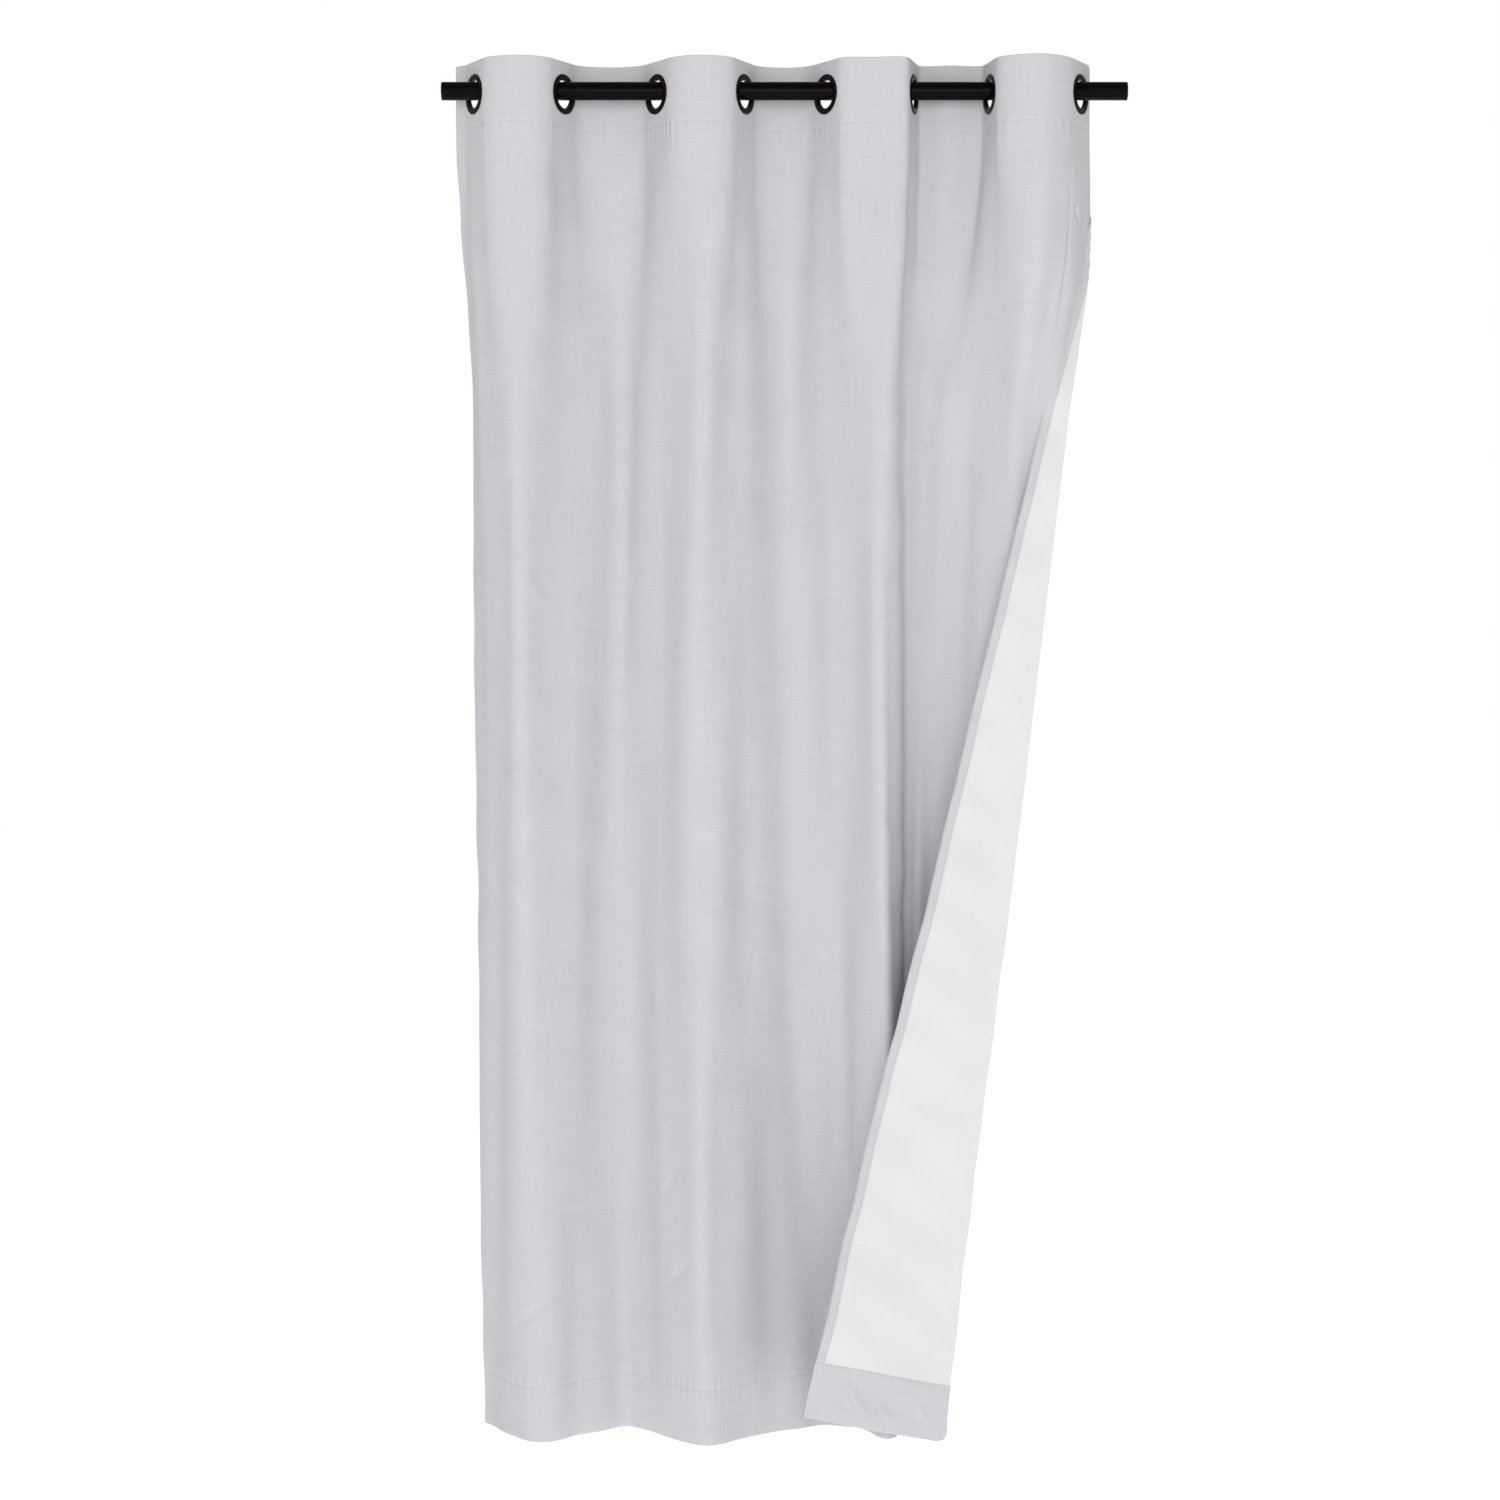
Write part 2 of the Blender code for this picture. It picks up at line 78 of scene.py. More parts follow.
def group_tree(name, kind, takes, gives):
    """A node group with named sockets. takes holds (name, type, value) and gives (name, type)."""
    tree = bpy.data.node_groups.new(name, kind)
    for label, socket_type, value in takes:
        made = tree.interface.new_socket(label, in_out="INPUT", socket_type=socket_type)
        if value is not None:
            made.default_value = value
    for label, socket_type in gives:
        tree.interface.new_socket(label, in_out="OUTPUT", socket_type=socket_type)
    return tree, tree.nodes.new("NodeGroupInput").outputs, tree.nodes.new("NodeGroupOutput").inputs


def math_node(tree, operation, a, b=0.0, clamp=False):
    return add_node(tree, "ShaderNodeMath", [(0, a), (1, b)], operation=operation, use_clamp=clamp).outputs[0]


def noise(tree, place, scale, detail=2.0):
    feeds = [("Vector", place), ("Detail", detail), ("Scale", scale)]
    return add_node(tree, "ShaderNodeTexNoise", feeds).outputs[0]


def mixed(tree, share, a, b):
    return add_node(tree, "ShaderNodeMix", [(0, share), (2, a), (3, b)]).outputs[0]


def spread_out(tree, value, low, high):
    """Spreads what lies between low and high over 0 to 1."""
    return add_node(tree, "ShaderNodeMapRange", [(0, value), (1, low), (2, high)]).outputs[0]


def cloudy_group():
    """Soft uneven patches over fine grain, for enamel, cloth and moulded plastic alike."""
    tree, given, out = group_tree(
        "cloudy", "ShaderNodeTree",
        [("Place", "NodeSocketVector", None), ("Patches per metre", "NodeSocketFloat", 8.0),
         ("Grains per metre", "NodeSocketFloat", 400.0), ("Grain share", "NodeSocketFloat", 0.4)],
        [("Shade", "NodeSocketFloat"), ("Grain", "NodeSocketFloat")])
    patches = noise(tree, given["Place"], given["Patches per metre"], 3.0)
    grain = noise(tree, given["Place"], given["Grains per metre"])
    tree.links.new(mixed(tree, given["Grain share"], patches, grain), out["Shade"])
    tree.links.new(grain, out["Grain"])
    return tree


CLOUDY = cloudy_group()


def use_group(tree, group, feeds):
    return add_node(tree, "ShaderNodeGroup", feeds, node_tree=group)


def start_material(name, **constants):
    """A material and its shader, with sockets that stay the same all over set by name."""
    made = bpy.data.materials.new(name)
    made.use_nodes = True
    shader = made.node_tree.nodes["Principled BSDF"]
    for key, value in constants.items():
        shader.inputs[key.replace("_", " ")].default_value = value
    return made, made.node_tree, shader


def between(tree, shade, low, high):
    """Colour or number that goes from low to high with the shade."""
    if isinstance(low, tuple):
        mix = add_node(tree, "ShaderNodeMix", [(0, shade), (6, (*low, 1)), (7, (*high, 1))], data_type="RGBA")
        return mix.outputs[2]
    return add_node(tree, "ShaderNodeMapRange", [(0, shade), (3, low), (4, high)]).outputs[0]


def coat_shader(tree, shader, shade, colours, gloss, height, bump, relief):
    """Links colour, roughness and bump to the shader."""
    tree.links.new(between(tree, shade, *colours), shader.inputs["Base Color"])
    tree.links.new(between(tree, shade, *gloss), shader.inputs["Roughness"])
    skin = add_node(tree, "ShaderNodeBump", [("Strength", bump), ("Distance", relief), ("Height", height)])
    tree.links.new(skin.outputs[0], shader.inputs["Normal"])


def coated(name, dark, light, smooth, rough, patches, grains, grain_share, bump, **constants):
    """Enamel or moulded plastic: uneven gloss and colour over a fine orange-peel skin."""
    made, tree, shader = start_material(name, **constants)
    place = add_node(tree, "ShaderNodeTexCoord").outputs["Object"]
    skin = use_group(tree, CLOUDY, [("Place", place), ("Patches per metre", patches),
                                    ("Grains per metre", grains), ("Grain share", grain_share)])
    shade = spread_out(tree, skin.outputs["Shade"], 0.35, 0.65)
    coat_shader(tree, shader, shade, (dark, light), (smooth, rough), skin.outputs["Grain"], bump, 0.0002)
    return made


def put_in_scene(name, data):
    obj = bpy.data.objects.new(name, data)
    bpy.context.scene.collection.objects.link(obj)
    return obj


def mesh_piece(name, points, faces, finish):
    mesh = bpy.data.meshes.new(name)
    mesh.from_pydata(points, [], faces)
    mesh.materials.append(finish)
    return put_in_scene(name, mesh)


SHARP_FROM = 35  # degrees between faces from which an edge stays sharp


def smooth_piece(name, points, faces, finish):
    obj = mesh_piece(name, points, faces, finish)
    obj.data.shade_smooth()
    obj.data.set_sharp_from_angle(angle=math.radians(SHARP_FROM))
    return obj


def around(profile, sides, place):
    """The (radius, height) points of a profile at each side of a full turn about local Z."""
    points = []
    for i in range(sides):
        angle = 2 * math.pi * i / sides
        points += [place @ Vector((r * math.cos(angle), r * math.sin(angle), z)) for r, z in profile]
    return points


def turned(name, profile, sides, place, finish):
    """Ring or tube turned about local Z from a closed profile, counterclockwise."""
    n = len(profile)
    faces = []
    for i in range(sides):
        here, there = i * n, (i + 1) % sides * n
        faces += [(here + j, there + j, there + (j + 1) % n, here + (j + 1) % n) for j in range(n)]
    return smooth_piece(name, around(profile, sides, place), faces, finish)


def arc(centre, radius, start, end, parts):
    """Points on a circular arc in a profile, angles in degrees."""
    turns = [math.radians(start + (end - start) * i / parts) for i in range(parts + 1)]
    return [(centre[0] + radius * math.cos(t), centre[1] + radius * math.sin(t)) for t in turns]


ENAMEL = coated("black_brown_enamel", (0.0018, 0.0012, 0.0009), (0.0040, 0.0030, 0.0024), 0.18, 0.28, 30, 900,
                0.35, 0.05, Specular_IOR_Level=0.05)
ROD_SIDES = 96
ROD_WALL = 0.0012
ROD_EDGE = 0.0004
rod_low, rod_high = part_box("curtain_rod")
rod_radius = rod_high.z
along_rod = Matrix.Rotation(math.radians(90), 4, "Y")
bore = rod_radius - ROD_WALL
rod_profile = [(bore, rod_low.x), *arc((rod_radius - ROD_EDGE, rod_low.x + ROD_EDGE), ROD_EDGE, -90, 0, 3),
               *arc((rod_radius - ROD_EDGE, rod_high.x - ROD_EDGE), ROD_EDGE, 0, 90, 3), (bore, rod_high.x)]
rod = turned("rod_tube", rod_profile, ROD_SIDES, along_rod, ENAMEL)
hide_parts("curtain_rod")
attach(rod, "rod")


# Each end of the rod is closed by a moulded plastic cap: a thin flat head with a rounded edge, and a plug that
# is pushed into the tube.
CAP_PLASTIC = coated("moulded_cap_plastic", (0.004, 0.0034, 0.003), (0.009, 0.008, 0.007), 0.38, 0.5, 60, 1500,
                     0.5, 0.12, Specular_IOR_Level=0.2)
CAP_ROUND = 0.0008
CAP_HEAD = 0.002
PLUG_PLAY = 0.0003


def end_cap(side, place):
    low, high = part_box(f"rod_end_cap_{side}")
    plug = bore - PLUG_PLAY
    outline = [(0.0, 0.0), *arc((rod_radius - CAP_ROUND, CAP_ROUND), CAP_ROUND, -90, 0, 4),
               (rod_radius, CAP_HEAD), (plug, CAP_HEAD), (plug, high.x - low.x), (0.0, high.x - low.x)]
    rims = outline[1:-1]
    n = len(rims)
    points = [place @ Vector((0, 0, z)) for z in (outline[0][1], outline[-1][1])]
    points += around(rims, ROD_SIDES, place)
    faces = []
    for i in range(ROD_SIDES):
        here, there = 2 + i * n, 2 + (i + 1) % ROD_SIDES * n
        faces += [(0, there, here), (1, here + n - 1, there + n - 1)]
        faces += [(here + j, there + j, there + j + 1, here + j + 1) for j in range(n - 1)]
    cap = smooth_piece(f"end_cap_{side}", points, faces, CAP_PLASTIC)
    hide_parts(f"rod_end_cap_{side}")
    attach(cap, "rod")


end_cap("left", along_rod)
far_end = Vector((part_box("rod_end_cap_right")[1].x, 0, 0))
end_cap("right", Matrix.Translation(far_end) @ Matrix.Rotation(math.radians(-90), 4, "Y"))


# Eight pressed metal grommets hang the panel on the rod. Each is a domed front ring whose shank goes through the
# heading and is rolled into a flatter washer behind it. They are plated, lacquered dark and a little worn.
WORN_PLATE = coated("worn_dark_plate", (0.0030, 0.0016, 0.0012), (0.0090, 0.0042, 0.0030), 0.16, 0.28, 70, 1200,
                    0.3, 0.06, Specular_IOR_Level=0.10)
PANEL_WIDTH = 1.3208
PANEL_LENGTH = 2.1336
END_MARGIN = 0.057
GROMMET_COUNT = 8
GROMMET_DROP = 0.050
PITCH = (PANEL_WIDTH - 2 * END_MARGIN) / (GROMMET_COUNT - 1)
FIRST_GROMMET = 0.0512
# Distances between grommets on the rod, in pitches, and the angles in degrees at which the cloth crosses it.
GAPS = (0.787, 0.835, 0.779, 0.733, 0.772, 0.689, 0.798)
CROSSING = (61, 60, 56, 63, 57, 75, 77, 62)
GROMMET_BORE = 0.043
GROMMET_OUTER = 0.061
SHANK_WALL = 0.0009
FLANGE_HEIGHT = 0.0020
WASHER_HEIGHT = 0.0015
FIT_GAP = 0.0003
RING_SIDES = 80
DOME_SIDES = 14
DOME_FULLNESS = 0.62  # power of the sine that shapes the dome, which is fuller than round
DOME_FOOT = 0.0004
SHANK_BREAK = 0.0002
WASHER_BREAK = 0.0003
WASHER_ROLL = 0.0011
STACK = 0.0023  # the thickness of the heading's layers together
GROMMET_X = [FIRST_GROMMET + sum(GAPS[:i]) * PITCH for i in range(GROMMET_COUNT)]
grommet_low, grommet_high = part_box("grommet_front_1")
GROMMET_Z = (grommet_low.z + grommet_high.z) / 2


def direction(degrees):
    return np.array((math.cos(math.radians(degrees)), math.sin(math.radians(degrees))))


def crossing_angle(i):
    """Plan angle of the cloth at grommet i: odd ones run forwards, even ones back."""
    return -CROSSING[i] if i % 2 == 0 else CROSSING[i]


def seat(i):
    """Places a ring turned about Z on grommet i, facing out of the room side of the cloth."""
    along = direction(crossing_angle(i))
    x_axis, y_axis = Vector((along[0], along[1], 0)), Vector((0, 0, 1))
    turn = Matrix((x_axis, y_axis, x_axis.cross(y_axis))).transposed().to_4x4()
    return Matrix.Translation((GROMMET_X[i], 0, GROMMET_Z)) @ turn


def ring_profiles():
    inner, outer = GROMMET_BORE / 2, GROMMET_OUTER / 2
    shank = inner + SHANK_WALL
    base = STACK / 2 + FIT_GAP
    tail = -base - WASHER_HEIGHT
    middle, half = (inner + outer) / 2, (outer - inner) / 2
    dome = []
    for k in range(DOME_SIDES + 1):
        t = math.radians(180 * k / DOME_SIDES)
        across, up = math.cos(t), math.sin(t) ** DOME_FULLNESS
        dome.append((middle + half * across, base + DOME_FOOT + (FLANGE_HEIGHT - DOME_FOOT) * up))
    front = [(inner, tail + SHANK_BREAK), (inner + SHANK_BREAK, tail), (shank - SHANK_BREAK, tail),
             (shank, tail + SHANK_BREAK), (shank, base), (outer - 0.0003, base), *dome]
    play = shank + FIT_GAP
    reach = outer - play
    washer = [(play, -base), (play, tail + WASHER_BREAK), (play + WASHER_BREAK, tail),
              (play + 0.45 * reach, tail),
              *arc((outer - WASHER_ROLL, tail + WASHER_ROLL), WASHER_ROLL, -75, 0, 5), (outer, -base)]
    return front, washer


def pleat_name(k):
    return f"pleat_{k + 1}" if k < 6 else "leading"


front_profile, washer_profile = ring_profiles()
for i in range(GROMMET_COUNT):
    for kind, profile in (("front", front_profile), ("washer", washer_profile)):
        ring = turned(f"ring_{kind}_{i + 1}", profile, RING_SIDES, seat(i), WORN_PLATE)
        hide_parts(f"grommet_{kind}_{i + 1}")
        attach(ring, pleat_name(i))


# The face is one width of slubbed cotton. Its heading is turned over the stiffener and down the back, and its
# hem is turned up behind, so one cloth runs from the header band over the top, down the front and up the hem.
HEADER_DEPTH = 0.1016
HEM_DEPTH = 0.089
SHOULDER_DROP = 0.55
APEX_DROP = 0.22
# Fold lines: x away from the line's own place at the heading, and y, in pitches; the heading has y alone. L and
# R are the side edges, G a grommet, F a crest towards the room and B one towards the window.
HEADING_Y = {"L": 0.26, "F1": -0.30, "B1": 0.28, "F2": -0.30, "B2": 0.29,
             "F3": -0.21, "B3": 0.19, "F4": -0.37, "R": 0.25}
SHOULDER = {"L": (0.13, 0.29), "G1": (0.08, 0.01), "F1": (-0.01, -0.31), "G2": (0.03, -0.01),
            "B1": (0.06, 0.28), "G3": (0.01, 0.00), "F2": (0.01, -0.31), "G4": (0.01, -0.02),
            "B2": (0.02, 0.29), "G5": (0.03, 0.03), "F3": (0.08, -0.30), "G6": (-0.09, -0.04),
            "B3": (-0.20, 0.12), "G7": (-0.16, 0.03), "F4": (-0.18, -0.19), "G8": (-0.29, -0.205),
            "R": (-0.23, -0.19)}
HEM = {"L": (0.20, 0.40), "G1": (0.21, 0.12), "F1": (0.12, -0.24), "G2": (0.12, 0.00),
       "B1": (0.12, 0.29), "G3": (0.06, -0.03), "F2": (0.03, -0.34), "G4": (0.08, -0.03),
       "B2": (0.17, 0.25), "G5": (0.25, 0.29), "F3": (0.165, -0.12), "G6": (-0.11, 0.20),
       "B3": (-0.31, 0.22), "G7": (-0.55, 0.24), "F4": (-0.90, 0.10), "G8": (-1.23, -0.02),
       "R": (-1.30, -0.235)}
STEEP = {"G6": 86.0}  # lines where the free cloth stands at an angle of its own, in degrees in plan
TOP_Z = GROMMET_Z + GROMMET_DROP


def fold_lines():
    """(name, distance along the flat panel, x at the heading) of each fold line."""
    lines = [("L", 0.0, GROMMET_X[0] - 0.19 * PITCH)]
    for i, x in enumerate(GROMMET_X):
        s = END_MARGIN + i * PITCH
        lines.append((f"G{i + 1}", s, x))
        if i + 1 < GROMMET_COUNT:
            lines.append((f"{'FB'[i % 2]}{i // 2 + 1}", s + PITCH / 2, (x + GROMMET_X[i + 1]) / 2))
    lines.append(("R", PANEL_WIDTH, GROMMET_X[-1] + 0.11 * PITCH))
    return lines


FOLDS = fold_lines()


def heading_knots():
    """(distance, place, tangent) along the heading, which is straight across each grommet."""
    half = GROMMET_OUTER / 2 + FIT_GAP
    knots = []
    for name, s, x in FOLDS:
        if name[0] == "G":
            along = direction(crossing_angle(int(name[1:]) - 1))
            knots += [(s + side, np.array((x, 0.0)) + along * side, along) for side in (-half, half)]
        else:
            tangent = direction({"L": -55, "R": 60}.get(name, 0))
            knots.append((s, np.array((x, HEADING_Y[name] * PITCH)), tangent))
    return knots


def free_knots(table):
    """The same lower down, where the cloth hangs free."""
    at = [(s, np.array((x + table[name][0] * PITCH, table[name][1] * PITCH))) for name, s, x in FOLDS]
    knots = []
    for i, (s, place) in enumerate(at):
        before, after = at[max(i - 1, 0)], at[min(i + 1, len(at) - 1)]
        name = FOLDS[i][0]
        tangent = (after[1] - before[1]) / (after[0] - before[0])
        knots.append((s, place, direction(STEEP[name]) if name in STEEP else tangent))
    return knots


KNOTS = [heading_knots(), free_knots(SHOULDER), free_knots(HEM)]


def along_knots(knots, s):
    """Points and slopes of the cubic through the knots."""
    stops = np.array([k[0] for k in knots])
    i = np.clip(np.searchsorted(stops, s, side="left") - 1, 0, len(knots) - 2)
    places, tangents = np.array([k[1] for k in knots]), np.array([k[2] for k in knots])
    h = (stops[i + 1] - stops[i])[:, None]
    t = (s - stops[i])[:, None] / h
    p0, p1, t0, t1 = places[i], places[i + 1], tangents[i], tangents[i + 1]
    point = (p0 * (1 + 2 * t) * (1 - t) ** 2 + t0 * h * t * (1 - t) ** 2
             + p1 * t * t * (3 - 2 * t) + t1 * h * t * t * (t - 1))
    slope = (p1 - p0) * 6 * t * (1 - t) / h + t0 * (1 - t) * (1 - 3 * t) + t1 * t * (3 * t - 2)
    return point, slope


def ease(t):
    t = np.clip(t, 0.0, 1.0)
    return t * t * (3 - 2 * t)


dice = np.random.default_rng(23)
# Handling creases: start and end as (distance, drop), height of the ridge and its width.
CREASES = [((0.093, 1.961), (0.241, 1.878), 0.0022, 0.008), ((0.400, 1.760), (0.440, 1.700), 0.0016, 0.007),
           ((0.405, 1.900), (0.465, 1.845), 0.0018, 0.007), ((1.236, 0.085), (1.243, 0.43), 0.0040, 0.0024),
           ((1.270, 0.250), (1.253, 0.222), 0.0028, 0.0040), ((0.918, -0.05), (0.918, 1.15), 0.0032, 0.0027)]
for _ in range(34):
    at = (dice.uniform(0.05, PANEL_WIDTH - 0.2), 0.35 + 1.75 * dice.uniform() ** 0.6)
    lean, length = dice.uniform(-1.1, 1.1), dice.uniform(0.05, 0.17)
    end = (at[0] + length * math.cos(lean), at[1] + length * math.sin(lean))
    CREASES.append((at, end, dice.uniform(-0.0011, 0.0013), dice.uniform(0.007, 0.015)))
# Slow waves of the hanging cloth: waves per metre across and down, offset and height.
WAVES = [(dice.uniform(5, 15), dice.uniform(-1.1, 1.1), dice.uniform(0, 6.3), dice.uniform(0.0004, 0.0011))
         for _ in range(9)]
WAVES += [(dice.uniform(-4, 4), dice.uniform(3, 9), dice.uniform(0, 6.3), dice.uniform(0.0002, 0.0004))
          for _ in range(6)]
PUCKER_LENGTH = 0.0125


def ridge(s, drop, start, end, high, wide):
    """Height of a crease from start to end, which fades towards both."""
    run = np.array((end[0] - start[0], end[1] - start[1]))
    length = np.linalg.norm(run)
    along = ((s - start[0]) * run[0] + (drop - start[1]) * run[1]) / length**2
    across = ((s - start[0]) * run[1] - (drop - start[1]) * run[0]) / length
    return high * np.clip(1 - (2 * along - 1) ** 2, 0, 1) * np.exp(-((across / wide) ** 2))


def unevenness(s, drop):
    """How far the cloth stands back from its even folds."""
    back = np.zeros_like(s)
    for crease in CREASES:
        back += ridge(s, drop, *crease)
    for across, down, offset, high in WAVES:
        back += high * np.sin(2 * math.pi * (across * s + down * drop) + offset)
    back *= ease((drop - HEADER_DEPTH) / 0.12)
    gather = np.sin(2 * math.pi * s / PUCKER_LENGTH + 2.1 * np.sin(29 * s) + 1.4 * np.sin(73 * s + 1))
    for line, above, below, high in ((HEADER_SEAM, 0.004, 0.030, 0.0005), (HEM_SEAM, 0.022, 0.018, 0.0006)):
        d = drop - line
        back += high * gather * (0.6 + 0.4 * np.sin(17 * s)) * np.exp(-np.where(d < 0, d / above, d / below) ** 2)
        back += 0.00035 * np.exp(-((d / 0.0016) ** 2))
    return back


SEAM_INSET = 0.003
HEADER_SEAM = HEADER_DEPTH - SEAM_INSET
HEM_SEAM = PANEL_LENGTH - HEM_DEPTH + SEAM_INSET
FOOT_ROUND = 0.011  # how much the bottom is lifted where the cloth turns back at the corner's fold
FOOT_REACH = (0.020, 0.045)  # how far from the fold and from the bottom that tells


def lifted(u, drop):
    """The drop of the cloth at distance u from the corner's fold, whose foot is rounded."""
    return drop - FOOT_ROUND * ease(1 - np.abs(u) / FOOT_REACH[0]) ** 2 * ease(
        1 - (PANEL_LENGTH - drop) / FOOT_REACH[1])


def hang(s, drop, depth):
    """Points of the panel at distance s along its width and drop below its top, depth behind its middle."""
    drop = lifted(s - PANEL_WIDTH, drop)
    let_go = ease((drop - HEADER_DEPTH) / (SHOULDER_DROP - HEADER_DEPTH))[:, None]
    down = ((drop - SHOULDER_DROP) / (PANEL_LENGTH - SHOULDER_DROP))[:, None]
    heading, shoulder, hem = (along_knots(k, s) for k in KNOTS)
    point, slope = (heading[i] * (1 - let_go) + (shoulder[i] * (1 - down) + hem[i] * down) * let_go
                    for i in (0, 1))
    slope = slope / np.linalg.norm(slope, axis=1)[:, None]
    behind = (depth + unevenness(s, drop))[:, None]
    return np.column_stack([point[:, 0] - slope[:, 1] * behind[:, 0],
                            point[:, 1] + slope[:, 0] * behind[:, 0], TOP_Z - drop])


FACE_THICKNESS = 0.0006
BAND_DEPTH = 0.00085  # from the middle of the heading to the middle of the face cloth or the band
HEM_PUFF = 0.0013  # how much fuller the fold at the bottom of the hem is than the fold at the top


def cloth_section(p):
    """(drop, depth) at distance p along the face cloth: below 0 is the header band, past the hem is the hem band."""
    top, low = BAND_DEPTH, BAND_DEPTH + HEM_PUFF
    quarter, low_quarter = top * math.pi / 2, low * math.pi / 2
    q = PANEL_LENGTH - p
    at_top = np.clip(p / top, -math.pi / 2, math.pi / 2)
    at_low = np.clip(q / low, -math.pi / 2, math.pi / 2)
    drop = np.where(p < quarter, top * (1 - np.cos(at_top)) + np.maximum(-p - quarter, 0), p - quarter + top)
    low_drop = PANEL_LENGTH - low * (1 - np.cos(at_low)) - np.maximum(np.abs(q) - low_quarter, 0)
    depth = -top * np.sin(at_top) - HEM_PUFF * ease(1 - np.abs(q) / 0.05)
    low_depth = -np.sin(at_low) * (top + HEM_PUFF * ease(1 - np.abs(q) / 0.05))
    near_hem = p > PANEL_LENGTH / 2
    return np.where(near_hem, low_drop, drop), np.where(near_hem, low_depth, depth)


def wrapped(surface):
    """The face cloth, with its header band and hem, on the panel or on the corner."""
    return lambda s, p: surface(s, *cloth_section(p))


def at_depth(surface, depth):
    """A layer at one depth behind the middle of the panel or of the corner."""
    return lambda s, drop: surface(s, drop, np.full_like(s, depth))


face_surface = wrapped(hang)


def stops(*spans):
    """Rows or columns from (start, end, largest step) spans."""
    made = [spans[0][0]]
    for start, end, step in spans:
        parts = max(1, math.ceil((end - start) / step - 1e-6))
        made += [start + (end - start) * (k + 1) / parts for k in range(parts)]
    return np.array(made)


def grid(columns, rows):
    """Flat points and quads, with rows running down and columns to the right."""
    s, p = np.meshgrid(columns, rows)
    n = len(columns)
    k, j = np.meshgrid(np.arange(len(rows) - 1), np.arange(n - 1), indexing="ij")
    a = (k * n + j).ravel()
    return np.column_stack([s.ravel(), p.ravel()]), [tuple(f) for f in np.column_stack([a, a + n, a + n + 1, a + 1])]


CUT_REACH = 0.008  # faces this near to a hole are split


def cut_round(flat, faces, centre, radius):
    """Cuts a round hole: faces near it are split in three-cornered ones, whose corners move onto the circle."""
    away = np.hypot(*(flat - centre).T)
    near, kept = [], []
    for f in faces:
        if min(away[i] for i in f) < radius + CUT_REACH:
            near += [(f[0], f[1], f[2]), (f[0], f[2], f[3])] if len(f) == 4 else [f]
        else:
            kept.append(f)
    if not near:
        return flat, kept
    near = np.array(near)
    edges = np.concatenate([near[:, (0, 1)], near[:, (1, 2)], near[:, (2, 0)]])
    for _ in range(8):
        off = np.hypot(*(flat - centre).T) - radius
        crossing = edges[off[edges[:, 0]] * off[edges[:, 1]] < -1e-12]
        if not len(crossing):
            break
        first = np.abs(off[crossing[:, 0]]) < np.abs(off[crossing[:, 1]])
        moved = np.unique(np.where(first, crossing[:, 0], crossing[:, 1]))
        flat[moved] = centre + (flat[moved] - centre) * (radius / (off[moved] + radius))[:, None]
    middle = np.hypot(*(flat[near].mean(axis=1) - centre).T)
    return flat, kept + [tuple(f) for f in near[middle > radius]]


PROBE = 0.0002  # flat distance over which a surface's direction is taken


def normals(surface, s, p):
    across = surface(s + PROBE, p) - surface(s - PROBE, p)
    down = surface(s, p + PROBE) - surface(s, p - PROBE)
    normal = np.cross(down, across)
    return normal / np.linalg.norm(normal, axis=1)[:, None]


def thin_cloth(name, surface, flat, faces, thickness, finish):
    """A closed cloth of even thickness about a surface. Its shading follows the whole surface, so neighbouring
    pieces of one cloth shade as one. Its UV map is the flat cloth in metres."""
    used = np.unique(np.concatenate([np.array(f) for f in faces]))
    renumber = np.full(len(flat), -1)
    renumber[used] = np.arange(len(used))
    flat = flat[used]
    count = len(flat)
    quads, corners = (renumber[np.array([f for f in faces if len(f) == n], int).reshape(-1, n)] for n in (4, 3))
    normal, middle = normals(surface, *flat.T), surface(*flat.T)
    points = np.concatenate([middle + normal * thickness / 2, middle - normal * thickness / 2])
    edges = np.concatenate([f[:, (k, (k + 1) % f.shape[1])] for f in (quads, corners) for k in range(f.shape[1])])
    forward, reverse = edges[:, 0] * count + edges[:, 1], edges[:, 1] * count + edges[:, 0]
    rim = edges[~np.isin(forward, reverse)]
    wall = np.column_stack([rim[:, 1], rim[:, 0], rim[:, 0] + count, rim[:, 1] + count])
    blocks = [quads, corners, quads[:, ::-1] + count, corners[:, ::-1] + count, wall]
    mesh = bpy.data.meshes.new(name)
    loops = np.concatenate([b.ravel() for b in blocks]).astype(np.int32)
    sizes = np.concatenate([np.full(len(b), b.shape[1]) for b in blocks])
    mesh.vertices.add(len(points))
    mesh.vertices.foreach_set("co", points.ravel())
    mesh.loops.add(len(loops))
    mesh.loops.foreach_set("vertex_index", loops)
    mesh.polygons.add(len(sizes))
    mesh.polygons.foreach_set("loop_start", np.concatenate([[0], np.cumsum(sizes)[:-1]]).astype(np.int32))
    mesh.update(calc_edges=True)
    mesh.uv_layers.new(name="flat_cloth").data.foreach_set("uv", flat[loops % count].ravel())
    both = np.concatenate([normal, -normal])[loops]
    corner = points[wall]
    out = np.cross(corner[:, 1] - corner[:, 0], corner[:, 3] - corner[:, 0])
    out /= np.maximum(np.linalg.norm(out, axis=1), 1e-12)[:, None]
    both[len(both) - wall.size:] = np.repeat(out, 4, axis=0)
    mesh.materials.append(finish)
    mesh.shade_smooth()
    mesh.normals_split_custom_set(both)
    return put_in_scene(name, mesh)


